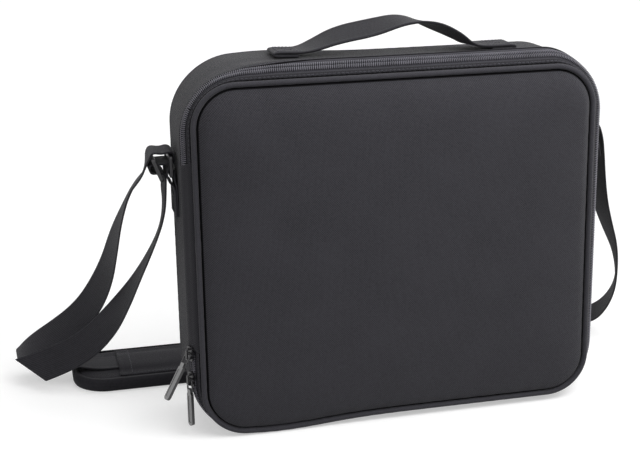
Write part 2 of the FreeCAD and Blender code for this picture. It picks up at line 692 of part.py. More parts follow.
def shoulder_pad():
    """Cushion with a crowned top, drawn in along its sides."""
    edge = PAD_BINDING_T + PAD_BINDING_GAP
    middle = PAD_T / 2.0
    low = middle - PAD_BINDING_W / 2.0
    high = middle + PAD_BINDING_W / 2.0
    return ruled([pad_outline(edge + PAD_DRAW, 0.0), pad_outline(edge, low), pad_outline(edge, high),
                  pad_outline(edge + PAD_DRAW, PAD_T * 0.9), pad_outline(edge + 2.2 * PAD_DRAW, PAD_T)])


def pad_binding():
    """Tape bound round the pad's edge."""
    low = PAD_T / 2.0 - PAD_BINDING_W / 2.0
    high = low + PAD_BINDING_W
    outer = ruled([pad_outline(0.0, low), pad_outline(0.0, high)])
    return outer.cut(ruled([pad_outline(PAD_BINDING_T, low - 1.0), pad_outline(PAD_BINDING_T, high + 1.0)]))


def pad_sleeve():
    """Flat tunnel on top of the pad that the webbing slides through."""
    length = PAD_L - 2.0 * SLEEVE_MARGIN
    base = PAD_T + SEAM_GAP
    room = WEB_T + 2.0 * RUN_GAP - SEAM_GAP
    x0 = PAD_LEFT + SLEEVE_MARGIN
    tunnel_w = WEB_W + 4.0
    outer = Part.makeBox(length, SLEEVE_W, room + SLEEVE_T, Vector(x0, PAD_Y - SLEEVE_W / 2.0, base))
    long_edges = [e for e in outer.Edges
                  if abs(e.tangentAt(e.FirstParameter).x) > 0.99 and e.CenterOfMass.z > base + 0.1]
    outer = outer.makeChamfer(room + SLEEVE_T - 0.8, long_edges)
    tunnel = Part.makeBox(length + 2.0, tunnel_w, room, Vector(x0 - 1.0, PAD_Y - tunnel_w / 2.0, base))
    return outer.cut(tunnel)


def build():
    """Every node of the case by name."""
    lower_z = CORNER_LOW_Z
    upper_z = CORNER_LOW_Z + SLIDER_PITCH
    back_piping_u = BACK_U + PIPING_R + SEAM_GAP
    return {
        "front_panel": front_panel(),
        "front_piping": piping(PIPING_R + SEAM_GAP, Y_FRONT + PIPING_DEPTH),
        "lid_gusset": off_the_spine(lid_strip_band()),
        "lid_zipper_tape": off_the_spine(lid_tape_band()),
        "lid_zipper_coil": off_the_spine(lid_coil_band()),
        "lid_foam": lid_foam(),
        "lid_lining": lid_lining(),
        "lid_binding": lid_binding(),
        "back_panel": back_panel(),
        "back_piping": piping(back_piping_u, Y_BACK - PIPING_DEPTH),
        "rear_gusset": rear_gusset(),
        "case_zipper_tape": case_tape(),
        "case_zipper_coil": case_coil(),
        "spine_panel": spine_panel(),
        "upper_chain_tape": upper_stretch(lid_tape_band()),
        "upper_chain_coil": upper_stretch(lid_coil_band()),
        "lower_chain_tape": lower_stretch(lid_tape_band()),
        "lower_chain_coil": lower_stretch(lid_coil_band()),
        "back_foam": back_foam(),
        "gusset_foam": gusset_foam(),
        "case_lining": case_lining(),
        "case_binding": case_binding(),
        "handle_web": handle_web(),
        "left_anchor_tab": left_anchor_tab(),
        "right_anchor_tab": on_the_right(left_anchor_tab()),
        "left_ring": left_ring(),
        "right_ring": on_the_right(left_ring()),
        "upper_slider": placed(slider(), upper_z),
        "lower_slider": placed(slider(), lower_z),
        "upper_pull_link": placed(leaning(pull_link(), UPPER_PULL_LEAN), upper_z),
        "upper_pull_tab": placed(leaning(pull_tab(), UPPER_PULL_LEAN), upper_z),
        "lower_pull_link": placed(pull_link(), lower_z),
        "lower_pull_tab": placed(pull_tab(), lower_z),
        "tri_glide": tri_glide(),
        "strap_right": web(STRAP_RIGHT, WEB_W, WEB_T),
        "strap_run": web(STRAP_RUN, WEB_W, WEB_T),
        "strap_left": web(STRAP_LEFT, WEB_W, WEB_T),
        "strap_loop": web(STRAP_LOOP, WEB_W, WEB_T),
        "strap_tail": web(STRAP_TAIL, WEB_W, WEB_T),
        "shoulder_pad": shoulder_pad(),
        "pad_binding": pad_binding(),
        "pad_sleeve": pad_sleeve(),
    }


def main():
    os.makedirs("parts", exist_ok=True)
    for name, shape in build().items():
        shape.exportStep("parts/" + name + ".step")


main()
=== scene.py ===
"""Looks of a soft carrying case: woven nylon, piping, coil zipper, webbing, shoulder pad and studio."""
import math

import bmesh
import bpy
import numpy as np
from mathutils import Matrix, Vector


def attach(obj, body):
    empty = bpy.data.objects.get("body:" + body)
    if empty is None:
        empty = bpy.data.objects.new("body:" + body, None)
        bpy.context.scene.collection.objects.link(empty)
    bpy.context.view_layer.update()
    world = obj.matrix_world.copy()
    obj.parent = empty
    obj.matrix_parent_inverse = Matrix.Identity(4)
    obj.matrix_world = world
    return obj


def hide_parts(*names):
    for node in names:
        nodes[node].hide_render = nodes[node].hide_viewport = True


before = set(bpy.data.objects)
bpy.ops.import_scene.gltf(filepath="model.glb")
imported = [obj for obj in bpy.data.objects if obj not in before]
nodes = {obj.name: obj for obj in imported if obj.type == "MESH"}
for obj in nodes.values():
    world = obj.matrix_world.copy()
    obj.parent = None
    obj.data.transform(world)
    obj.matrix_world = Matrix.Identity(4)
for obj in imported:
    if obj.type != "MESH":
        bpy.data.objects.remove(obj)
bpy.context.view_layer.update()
scene = bpy.context.scene
MM = 0.001
TAU = 2.0 * math.pi

# Case outline, in millimetres, as in the CAD source
HALF_W = 145.0
LOW = 10.0
HIGH = 260.0
CORNER = 36.0
DEPTH = 70.0
Y_FRONT = -35.0
FLARE = 10.0
FLARE_RUN = 14.0
RIGHT_SWELL = 4.0
BACK_U = 5.9
SIDE = HIGH - LOW - 2.0 * CORNER
ARC = CORNER * math.pi / 2
LINES = [2.0 * (HALF_W - CORNER), ARC, SIDE, ARC] * 2
GROWN = 1.15             # the gusset's face is about this much longer than the seam's outline
LEAST_CORNER = 5.0

# How the cloth leaves that outline
TIGHT = 8.0              # how much tighter the corners are at the front seam
SAG = 4.2                # how far the lower left of the front sags towards the floor
SAG_X, SAG_RUN = -92.0, 48.0
SAG_ALL = 1.0            # how far the whole lower front edge sags
SPREAD = 3.2             # how far the lower right of the front spreads
LIFT = 3.4               # how far the handle's left end pulls up the top behind it
LIFT_X, LIFT_RUN, LIFT_DEPTH = -85.0, 42.0, 25.0

# Places on the outline: whole numbers are the ends of its sides and corners, from the bottom left
ROUND = 8.0
SPINE_FROM = 5.70
HEM_TOP = 6.112
HEM_BOTTOM = 6.851
SPINE_TO = 7.30
LID_FROM = SPINE_TO
LID_TO = 13.70
CHAIN_LAP = 0.02         # how far the chains run under the spine's hems
CHAIN_FROM = HEM_BOTTOM - CHAIN_LAP
CHAIN_TO = ROUND + HEM_TOP + CHAIN_LAP
END_GAP = 0.008          # between the lid's chain and the short ones that stay shut

# Zipper, in depths behind the front seam
CHAIN_MID = 9.5
LID_TAPE = (4.1, 8.6)
CASE_TAPE = (9.4, 13.9)

# Webbing and stitches
WEB_W = 25.0
SPLINE_STEPS = 10
STITCH = 3.1             # pitch of the seams' stitches
SINK = 0.25              # share of its radius that a stitch lies in the cloth
UP = (0.0, 0.0, 1.0)
ACROSS = (0.0, 1.0, 0.0)


# Camera at the photo's view, in metres, degrees and pixels of the photo
CAMERA_AT = (-0.26519, -0.91734, 0.43158)
YAW, PITCH, ROLL = 13.14, 16.87, -0.86
FOCAL, PHOTO_W = 1326.15, 640.0


def camera():
    data = bpy.data.cameras.new("camera")
    data.sensor_width = 36.0
    data.lens = FOCAL * data.sensor_width / PHOTO_W
    data.clip_start = 0.05
    data.clip_end = 20.0
    obj = bpy.data.objects.new("camera", data)
    scene.collection.objects.link(obj)
    yaw, pitch, roll = (math.radians(angle) for angle in (YAW, PITCH, ROLL))
    ahead = Vector((math.sin(yaw) * math.cos(pitch), math.cos(yaw) * math.cos(pitch), -math.sin(pitch)))
    right = ahead.cross(Vector((0, 0, 1))).normalized()
    up = right.cross(ahead)
    side = math.cos(roll) * right + math.sin(roll) * up
    top = -math.sin(roll) * right + math.cos(roll) * up
    turn = Matrix((side, top, -ahead)).transposed()
    obj.matrix_world = Matrix.Translation(Vector(CAMERA_AT)) @ turn.to_4x4()
    scene.camera = obj


camera()


# Outline of the case
def ramp(value):
    """A value held between 0 and 1."""
    return np.clip(value, 0.0, 1.0)


def bell(value, middle, run):
    """Bell curve of height 1."""
    return np.exp(-((value - middle) / run) ** 2)


def pulled_up(x, depth):
    """Soft rise of the top round the handle's left end."""
    rise = LIFT * ramp((depth - FLARE_RUN) / LIFT_DEPTH)
    return rise * bell(x, LIFT_X, LIFT_RUN)


def outline(t, u, depth):
    """Points (x, z) at places t on the case outline grown by u, at one depth, and how far up they face."""
    t = np.mod(np.asarray(t, float), ROUND)
    u = np.broadcast_to(np.asarray(u, float), t.shape)
    depth = np.broadcast_to(np.asarray(depth, float), t.shape)
    deep = ramp(depth / FLARE_RUN)
    front = 1.0 - deep
    more = RIGHT_SWELL * deep
    most = np.maximum((HIGH - LOW) / 2.0 + u, 0.02)
    r = np.minimum(np.maximum(CORNER - TIGHT * front + u, LEAST_CORNER), most)
    left, right, low, high = -HALF_W - u, HALF_W + u + more, LOW - u, HIGH + u
    seg = np.minimum(t.astype(int), 7)
    f = t - seg
    x = np.zeros_like(t)
    z = np.zeros_like(t)
    up = np.zeros_like(t)
    cx = [right - r, right - r, left + r, left + r]
    cz = [low + r, high - r, high - r, low + r]
    for k in range(4):
        on = seg == 2 * k + 1
        angle = math.pi * (k / 2.0 - 0.5) + f * math.pi / 2
        x = np.where(on, cx[k] + r * np.cos(angle), x)
        z = np.where(on, cz[k] + r * np.sin(angle), z)
        up = np.where(on, np.sin(angle), up)
    sides = [((left + r, low), (right - r, low), -1), ((right, low + r), (right, high - r), 0),
             ((right - r, high), (left + r, high), 1), ((left, high - r), (left, low + r), 0)]
    for k, (start, end, faces_up) in enumerate(sides):
        on = seg == 2 * k
        x = np.where(on, start[0] + f * (end[0] - start[0]), x)
        z = np.where(on, start[1] + f * (end[1] - start[1]), z)
        up = np.where(on, faces_up, up)
    down = ramp((HIGH - z) / (HIGH - LOW))
    z = z - front ** 2 * down ** 3 * (SAG * bell(x, SAG_X, SAG_RUN) + SAG_ALL)
    x = x + front * down ** 1.5 * SPREAD * ramp(x / HALF_W)
    z = z + (1.0 - down) ** 3 * pulled_up(x, depth)
    return x, z, up


def places(start, end, step):
    """Places along the outline about step millimetres apart."""
    out = []
    for seg in range(int(math.floor(start)), int(math.ceil(end))):
        a, b = max(start, seg), min(end, seg + 1)
        if b - a < 1e-9:
            continue
        count = max(2, int(round((b - a) * LINES[seg % 8] * GROWN / step)))
        out += list(np.linspace(a, b, count, endpoint=False))
    return np.array(out + [end])


def all_round(step):
    """Places about step millimetres apart on the whole outline."""
    return places(0.0, ROUND, step)[:-1]


def swell(d):
    """Outset of the gusset's face at depth d."""
    left = 1.0 - np.minimum(d, FLARE_RUN) / FLARE_RUN
    return FLARE * (1.0 - left ** 2)


def skin(d, n):
    """Depth and outset of a point n millimetres outside the gusset's face."""
    d = np.asarray(d, float)
    slope = np.where(d >= FLARE_RUN, 0.0, 2.0 * FLARE / FLARE_RUN * (1.0 - d / FLARE_RUN))
    length = np.hypot(1.0, slope)
    return d - n * slope / length, swell(d) + n / length


def top_share(t, left, run):
    """1 along the top, falling to 0 at the upper right corner and, over run, before the place left."""
    t = np.mod(np.asarray(t, float), ROUND)
    rise = ramp((t - 3.5) / 0.5)
    fall = ramp((left - t) / run)
    return rise * rise * (3.0 - 2.0 * rise) * fall * fall * (3.0 - 2.0 * fall)


def tape_open(t):
    """Share of the zipper's tape that lies open behind the chain."""
    return top_share(t, 5.0, 0.3)


def crest(t, d):
    """How far the tape and the hem behind it stand up along the top."""
    height = np.interp(d, [2.3, 6.0, 9.5, 12.0, 16.0, 19.0, 24.0, 31.0],
                       [0.0, 0.9, 2.1, 2.8, 3.5, 3.6, 2.2, 0.0])
    return top_share(t, 5.1, 0.24) * height


def waves(a, b, scale, seed):
    """Soft repeatable unevenness from -1 to 1."""
    total = 0.0
    for k in range(4):
        p = seed * 1.7 + k * 2.3
        turn = 0.9 * k + seed
        along = (a * math.cos(turn) + b * math.sin(turn)) * TAU / (scale * (0.6 + 0.35 * k))
        total = total + np.sin(along + p)
    return total / 4.0


# Meshes
def make(name, verts, faces, body, materials, uvs=None, face_materials=None, sharp=None):
    """One piece from points in millimetres."""
    mesh = bpy.data.meshes.new(name)
    mesh.from_pydata((np.asarray(verts, float) * MM).tolist(), [], faces)
    mesh.polygons.foreach_set("use_smooth", [True] * len(mesh.polygons))
    if uvs is not None:
        layer = mesh.uv_layers.new(name="weave")
        layer.data.foreach_set("uv", (np.asarray(uvs, float) * MM).ravel())
    for material in materials:
        mesh.materials.append(material)
    if face_materials is not None:
        mesh.polygons.foreach_set("material_index", face_materials)
    mesh.update()
    work = bmesh.new()
    work.from_mesh(mesh)
    bmesh.ops.recalc_face_normals(work, faces=work.faces)
    work.to_mesh(mesh)
    work.free()
    if sharp:
        mesh.set_sharp_from_angle(angle=math.radians(sharp))
    obj = bpy.data.objects.new(name, mesh)
    scene.collection.objects.link(obj)
    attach(obj, body)
    return obj


def grid(points, round_i=False, round_j=False, caps=False, rims=False):
    """Faces and cloth coordinates of a net of points [i][j]."""
    n, m = points.shape[:2]
    si = n if round_i else n - 1
    sj = m if round_j else m - 1
    along = np.concatenate([[0.0], np.cumsum(np.linalg.norm(
        np.diff(np.concatenate([points, points[:1]]), axis=0), axis=2).mean(1))])
    across = np.concatenate([[0.0], np.cumsum(np.linalg.norm(
        np.diff(np.concatenate([points, points[:, :1]], axis=1), axis=1), axis=2).mean(0))])
    i, j = np.meshgrid(np.arange(si), np.arange(sj), indexing="ij")
    i, j = i.ravel(), j.ravel()
    i2, j2 = (i + 1) % n, (j + 1) % m
    faces = np.stack([i * m + j, i2 * m + j, i2 * m + j2, i * m + j2], 1)
    turns = ((0, 0), (1, 0), (1, 1), (0, 1))
    uv = np.stack([np.stack([along[i + a], across[j + b]], 1) for a, b in turns], 1)
    faces, uv = faces.tolist(), uv.reshape(-1, 2)
    ends = []
    if caps:
        ends += [list(range(m))[::-1], [(n - 1) * m + k for k in range(m)]]
    if rims:
        ends += [[k * m for k in range(n)], [k * m + m - 1 for k in range(n)][::-1]]
    for end in ends:
        faces.append(end)
        uv = np.concatenate([uv, np.zeros((len(end), 2))])
    return faces, uv


# How nets close: a ribbon with two ends, a ring round the outline, and a disc that fills it
ENDED = {"round_j": True, "caps": True}
RING = {"round_i": True, "round_j": True}
DISC = {"round_i": True, "rims": True}


def net(name, points, body, materials, sharp=None, dark_rows=(), dark_steps=None, **closed):
    """One piece from a net of points. Faces in dark_rows or on dark_steps take the second material, which is
    painted shade wherever it is used.
    """
    faces, uv = grid(points, **closed)
    picks = None
    m = points.shape[1]
    if dark_rows:
        picks = [1 if len(f) == 4 and min(f[0] % m, f[2] % m) in dark_rows else 0 for f in faces]
    if dark_steps is not None:
        picks = [int(dark_steps[f[0] // m]) for f in faces]
    return make(name, points.reshape(-1, 3), faces, body, materials, uv, picks, sharp)


def sweep_points(t, depth, out):
    """Points on the outline at places t, for depths and outsets of one cross-section (or one per place)."""
    t = np.asarray(t, float)
    depth = np.broadcast_to(np.asarray(depth, float), (len(t), np.shape(depth)[-1]))
    out = np.broadcast_to(np.asarray(out, float), depth.shape)
    x, z, _ = outline(np.repeat(t[:, None], depth.shape[1], 1), out, depth)
    return np.stack([x, Y_FRONT + depth, z], 2)


def skin_points(t, d, n):
    """Points that follow the gusset at places t, depths d and offsets n."""
    d = np.broadcast_to(np.asarray(d, float), (len(t), np.shape(d)[-1]))
    n = np.broadcast_to(np.asarray(n, float), d.shape)
    depth, out = skin(d, n)
    return sweep_points(t, depth, out + crest(np.asarray(t)[:, None], d))


# Materials
def new_material(name, color, rough, sheen=0.0, sheen_rough=0.5, specular=0.5, coat=0.0):
    m = bpy.data.materials.new(name)
    m.use_nodes = True
    tree = m.node_tree
    shader = tree.nodes["Principled BSDF"]
    values = {"Base Color": (*color, 1.0), "Roughness": rough, "Sheen Weight": sheen,
              "Sheen Roughness": sheen_rough, "Specular IOR Level": specular, "Coat Weight": coat}
    for key, value in values.items():
        shader.inputs[key].default_value = value
    return m, tree, shader


def node(tree, kind, inputs=None, **settings):
    made = tree.nodes.new(kind)
    for key, value in settings.items():
        setattr(made, key, value)
    for key, value in (inputs or {}).items():
        if isinstance(value, bpy.types.NodeSocket):
            tree.links.new(value, made.inputs[key])
        else:
            made.inputs[key].default_value = value
    return made


def math_node(tree, kind, a, b=0.0, c=0.0):
    return node(tree, "ShaderNodeMath", {0: a, 1: b, 2: c}, operation=kind).outputs[0]


def map_range(tree, value, low, high, first, last):
    return node(tree, "ShaderNodeMapRange", {0: value, 1: low, 2: high, 3: first, 4: last}).outputs[0]


def object_place(tree):
    return node(tree, "ShaderNodeTexCoord").outputs["Object"]


def cloth_place(tree):
    return node(tree, "ShaderNodeUVMap", uv_map="weave").outputs[0]


def bars(tree, value, factor):
    """Rounded bars, 0 to 1, one for every pi of value times factor."""
    return math_node(tree, "ABSOLUTE", math_node(tree, "SINE", math_node(tree, "MULTIPLY", value, factor)))


def uneven_gloss(tree, shader, value, rough):
    gloss = map_range(tree, value, 0.3, 0.7, rough - 0.1, rough + 0.1)
    tree.links.new(gloss, shader.inputs["Roughness"])


def raised(tree, shader, height, depth, strength=0.9):
    """Relief of the given depth in millimetres."""
    bump = node(tree, "ShaderNodeBump", {"Strength": strength, "Distance": depth * MM, "Height": height})
    tree.links.new(bump.outputs[0], shader.inputs["Normal"])


def threads(tree, source, pitch):
    """Plain weave from cloth coordinates in metres: height 0 to 1, and which thread lies on top."""
    split = node(tree, "ShaderNodeSeparateXYZ", {0: source})
    u = math_node(tree, "MULTIPLY", split.outputs[0], 1.0 / (pitch * MM))
    v = math_node(tree, "MULTIPLY", split.outputs[1], 1.0 / (pitch * MM))
    count = math_node(tree, "ADD", math_node(tree, "FLOOR", u), math_node(tree, "FLOOR", v))
    top = math_node(tree, "PINGPONG", count, 1.0)
    bar_u = bars(tree, u, math.pi)
    bar_v = bars(tree, v, math.pi)
    over = math_node(tree, "MULTIPLY", math_node(tree, "MULTIPLY_ADD", bar_v, 0.4, 0.6), bar_u)
    under = math_node(tree, "MULTIPLY", math_node(tree, "MULTIPLY_ADD", bar_u, 0.4, 0.6), bar_v)
    height = math_node(tree, "ADD", math_node(tree, "MULTIPLY", over, top),
                       math_node(tree, "MULTIPLY", under, math_node(tree, "SUBTRACT", 1.0, top)))
    return height, top


def noise(tree, place, scale, detail=2.0, stretch=None):
    if stretch:
        place = node(tree, "ShaderNodeMapping", {"Vector": place, "Scale": stretch}).outputs[0]
    return node(tree, "ShaderNodeTexNoise", {"Vector": place, "Scale": scale, "Detail": detail}).outputs[0]


def weighted(tree, *parts):
    """Sum of values, each times its weight."""
    total = None
    for value, weight in parts:
        if total is None:
            total = math_node(tree, "MULTIPLY", value, weight)
        else:
            total = math_node(tree, "MULTIPLY_ADD", value, weight, total)
    return total


def two_tone(tree, shader, value, low, high, dark, light):
    tones = node(tree, "ShaderNodeValToRGB", {0: value})
    for element, place, color in zip(tones.color_ramp.elements, (low, high), (dark, light)):
        element.position = place
        element.color = (*color, 1.0)
    tree.links.new(tones.outputs[0], shader.inputs["Base Color"])


def shade(value):
    """Near-black with the photo's faint blue cast."""
    return (value, value * 0.975, value * 1.14)


def cloth(name, dark, light, pitch, depth, rough, sheen=0.1, flat=None):
    """Woven nylon: threads of uneven thickness, mottled dye, fine fuzz and faintly worn places."""
    m, tree, shader = new_material(name, shade(light), rough, sheen, 0.45, 0.08)
    place = object_place(tree)
    if flat is None:
        source = cloth_place(tree)
    else:
        source = node(tree, "ShaderNodeMapping", {"Vector": place, "Rotation": flat}).outputs[0]
    height, top = threads(tree, source, pitch)
    warp_slub = noise(tree, source, 1000.0, 2.0, (1.0, 0.2, 1.0))
    weft_slub = noise(tree, source, 1000.0, 2.0, (0.2, 1.0, 1.0))
    mottle = noise(tree, source, 520.0, 3.0)
    worn = noise(tree, place, 28.0, 3.0)
    tone = weighted(tree, (height, 0.4), (top, 0.42), (warp_slub, 0.12), (weft_slub, 0.12), (mottle, 0.42),
                    (worn, 0.2))
    two_tone(tree, shader, tone, 0.4, 1.26, shade(dark), shade(light))
    uneven_gloss(tree, shader, mottle, rough)
    raised(tree, shader, weighted(tree, (height, 1.0), (warp_slub, 0.35), (weft_slub, 0.35)), depth)
    return m


def ribbed(name, dark, light, pitch, depth, rough, sheen=0.1, lengthwise=False, cross=0.0):
    """Webbing and tape: ribs across or along the cloth, with a fine weave over them."""
    m, tree, shader = new_material(name, shade(light), rough, sheen, 0.45, 0.08)
    source = cloth_place(tree)
    place = object_place(tree)
    split = node(tree, "ShaderNodeSeparateXYZ", {0: source})
    axis, other = (1, 0) if lengthwise else (0, 1)
    height = bars(tree, split.outputs[axis], math.pi / (pitch * MM))
    if cross:
        pick = bars(tree, split.outputs[other], math.pi / (cross * MM))
        height = math_node(tree, "MULTIPLY_ADD", pick, 0.6, height)
    slub = noise(tree, source, 700.0, 2.0, (0.08, 1.0, 1.0))
    fuzz = noise(tree, place, 500.0, 3.0)
    worn = noise(tree, place, 45.0, 2.0)
    tone = weighted(tree, (height, 0.42), (slub, 0.25), (fuzz, 0.35), (worn, 0.2))
    two_tone(tree, shader, tone, 0.3, 1.0, shade(dark), shade(light))
    raised(tree, shader, height, depth)
    return m


def moulded(name, dark, light, rough, scale, bump_depth, coat=0.0):
    """Moulded plastic or enamel: faint mottling, fine grain and uneven gloss."""
    m, tree, shader = new_material(name, light, rough, 0.0, 0.5, 0.5, coat)
    place = object_place(tree)
    grain = noise(tree, place, scale, 4.0)
    two_tone(tree, shader, noise(tree, place, scale / 12.0), 0.3, 0.7, dark, light)
    uneven_gloss(tree, shader, grain, rough)
    raised(tree, shader, grain, bump_depth, 0.5)
    return m


def pull_material(name, facing):
    """Moulded tab: pale flat faces, with shade painted on the rounded rim where it turns away from them."""
    m = moulded(name, (0.22, 0.22, 0.222), (0.28, 0.28, 0.283), 0.38, 600.0, 0.03)
    tree = m.node_tree
    shader = tree.nodes["Principled BSDF"]
    face = shader.inputs["Base Color"].links[0].from_socket
    normal = node(tree, "ShaderNodeTexCoord").outputs["Normal"]
    dot = node(tree, "ShaderNodeVectorMath", {0: normal, 1: facing}, operation="DOT_PRODUCT").outputs["Value"]
    turned = math_node(tree, "ABSOLUTE", dot)
    flat = map_range(tree, turned, 0.55, 0.95, 0.0, 1.0)
    # Painted shade: the colour darkens as the surface turns from the flat face towards the rim
    rim = (0.018, 0.018, 0.019, 1.0)
    mix = node(tree, "ShaderNodeMix", {0: flat, 6: rim, 7: face}, data_type="RGBA")
    tree.links.new(mix.outputs[2], shader.inputs["Base Color"])
    return m


PANEL = cloth("panel_weave", 0.003, 0.052, 0.85, 0.25, 0.7, 0.1, (math.pi / 2, 0.0, 0.0))
GUSSET = cloth("gusset_weave", 0.004, 0.037, 0.8, 0.2, 0.72)
PIPING = cloth("piping_weave", 0.005, 0.056, 0.6, 0.10, 0.62)
# Painted shade: a near-black copy of the cloth, laid on the faces in the grooves at the seams and under the
# zipper coil's windings, where shade falls
PAINTED_SEAM_SHADE = cloth("painted_seam_shade", 0.002, 0.008, 0.8, 0.10, 0.85, 0.0)
LINING = cloth("lining_weave", 0.006, 0.034, 0.4, 0.05, 0.5)
PAD_CLOTH = cloth("pad_weave", 0.007, 0.038, 0.7, 0.15, 0.78, 0.05, (0.0, 0.0, 0.0))
WEB = ribbed("webbing", 0.004, 0.033, 1.4, 0.2, 0.72, 0.1, True, 0.8)
# Painted light: a lighter copy of the same webbing for the anchor tabs, which lie in shade at the case's
# sides
PAINTED_LIGHTER_TAB_WEB = ribbed("tab_webbing_painted_lighter", 0.008, 0.060, 1.4, 0.2, 0.72, 0.1, True, 0.8)
TAPE = ribbed("zipper_tape", 0.003, 0.062, 0.7, 0.08, 0.75, 0.0, True, 0.5)
GROSGRAIN = ribbed("grosgrain", 0.008, 0.034, 0.9, 0.1, 0.75, 0.05)
THREAD = ribbed("thread", 0.040, 0.110, 0.5, 0.05, 0.5)
COIL = moulded("coil_nylon", shade(0.13), shade(0.19), 0.4, 900.0, 0.02)
PLASTIC = moulded("satin_plastic", shade(0.010), shade(0.018), 0.35, 700.0, 0.02)
ENAMEL = moulded("black_enamel", shade(0.008), shade(0.016), 0.25, 800.0, 0.02, 0.1)


# Shoulder strap: the route's points, and the direction of the webbing's width where it isn't level
STRAP = [
    (171.6, 12.5, 183.6), (170.4, 12.5, 193.6), (166.8, 12.5, 201.6), (160.8, 12.5, 200.8),
    (160.1, 12.5, 207.2), (163.6, 12.5, 211.4), (169.6, 12.5, 208.6), (173.2, 12.5, 197.5),
    (174.6, 12.5, 187.0), (176.0, 14.0, 171.0, -0.1, 0.97, 0.2), (181.0, 20.0, 149.0, -0.2, 0.92, 0.3),
    (190.5, 29.0, 126.0, -0.22, 0.9, 0.35), (203.0, 40.0, 103.0, -0.1, 0.9, 0.4),
    (214.0, 51.0, 79.0, 0.2, 0.82, 0.5), (220.5, 61.0, 58.0, 0.42, 0.72, 0.52),
    (222.5, 76.0, 36.0, 0.5, 0.68, 0.5), (217.0, 90.0, 18.0, 0.45, 0.8, 0.35),
    (199.0, 99.0, 11.8, 0.25, 0.95, 0.1), (172.0, 103.0, 11.0), (140.0, 104.0, 11.1),
    (110.0, 104.0, 11.1), (-196.0, 104.0, 11.1), (-214.0, 104.0, 11.1), (-234.0, 108.0, 14.5),
    (-256.0, 113.0, 16.8), (-277.6, 116.0, 19.0, -0.05, 0.98, -0.1),
    (-278.8, 116.0, 22.6, -0.05, 0.98, -0.05), (-264.0, 114.0, 30.0, 0.05, 0.85, 0.52),
    (-245.8, 107.0, 41.0, -0.13, 0.72, 0.68), (-228.6, 98.0, 55.5, -0.3, 0.66, 0.69),
    (-216.1, 88.0, 73.0, -0.38, 0.67, 0.64), (-204.9, 71.0, 102.0, -0.27, 0.76, 0.59),
    (-199.6, 52.0, 131.0, -0.08, 0.82, 0.56), (-193.4, 34.5, 157.0, 0.14, 0.92, 0.34),
    (-186.4, 21.5, 179.0, 0.2, 0.97, -0.04), (-178.0, 12.5, 193.0, 0.18, 0.97, -0.12),
    (-176.0, 12.5, 201.0, 0.1, 1.0, -0.06), (-174.7, 12.5, 205.5), (-172.4, 12.5, 210.2),
    (-165.2, 12.5, 208.6), (-159.8, 12.5, 210.1), (-156.1, 12.5, 207.6), (-157.0, 12.5, 200.9),
    (-162.5, 12.5, 201.2), (-167.0, 12.5, 201.0), (-174.8, 12.5, 201.2), (-174.4, 12.5, 194.5),
    (-168.6, 12.5, 194.5), (-163.3, 12.5, 193.8), (-163.9, 12.5, 184.0), (-164.39, 12.5, 176.0),
    (-164.6, 16.5, 165.0, 0.1, 0.96, 0.28), (-166.2, 26.0, 149.0, 0.23, 0.91, 0.33),
    (-170.6, 35.0, 132.0, 0.27, 0.92, 0.27), (-180.2, 43.0, 110.0, 0.2, 0.93, 0.32),
    (-190.2, 53.0, 88.0, 0.0, 0.9, 0.42), (-205.4, 65.0, 62.0, -0.28, 0.76, 0.58),
    (-223.6, 74.0, 41.0, -0.35, 0.61, 0.71), (-245.5, 81.5, 27.6, -0.26, 0.53, 0.81),
    (-269.0, 88.4, 18.4, -0.22, 0.49, 0.84),
]


def spline_points(points):
    """Points along a smooth spline with these control points."""
    curve = bpy.data.curves.new("route", "CURVE")
    curve.dimensions = "3D"
    spline = curve.splines.new("NURBS")
    spline.points.add(len(points) - 1)
    for target, place in zip(spline.points, points):
        target.co = (*place, 1.0)
    spline.order_u = 3
    spline.use_endpoint_u = True
    spline.resolution_u = SPLINE_STEPS
    obj = bpy.data.objects.new("route", curve)
    scene.collection.objects.link(obj)
    graph = bpy.context.evaluated_depsgraph_get()
    mesh = bpy.data.meshes.new_from_object(obj.evaluated_get(graph))
    found = np.array([v.co for v in mesh.vertices])
    bpy.data.objects.remove(obj)
    bpy.data.meshes.remove(mesh)
    bpy.data.curves.remove(curve)
    return found


def unit(v):
    return v / np.maximum(np.linalg.norm(v, axis=-1, keepdims=True), 1e-12)


def heading(line):
    """Direction of a line at each of its points."""
    return unit(np.gradient(line, axis=0))


def run_lengths(line):
    """Length along a line up to each of its points."""
    return np.concatenate([[0.0], np.cumsum(np.linalg.norm(np.diff(line, axis=0), axis=1))])


def ribbon_frames(rows):
    """Centre line, along, across and face directions of webbing through given rows."""
    line = spline_points([np.multiply(row[:3], MM) for row in rows]) / MM
    wide = spline_points([row[3:] or ACROSS for row in rows])
    keep = np.concatenate([[True], np.linalg.norm(np.diff(line, axis=0), axis=1) > 1e-6])
    line, wide = line[keep], wide[keep]
    along = heading(line)
    across = unit(wide - along * (wide * along).sum(1, keepdims=True))
    return line, along, across, np.cross(along, across)


def web_section(width, thickness):
    """Cross-section of webbing: flat faces, thin rounded selvedges."""
    h, t = width / 2.0, thickness / 2.0
    half = [(-h, 0.0), (-h + 0.15, 0.55 * t), (-h + 0.6, 0.95 * t), (-h + 1.6, t), (-h + 2.4, 0.86 * t),
            (-h + 5.0, 0.92 * t)]
    top = half + [(-x, y) for x, y in half[::-1]]
    return np.array(top + [(x, -y) for x, y in top[1:-1][::-1]])


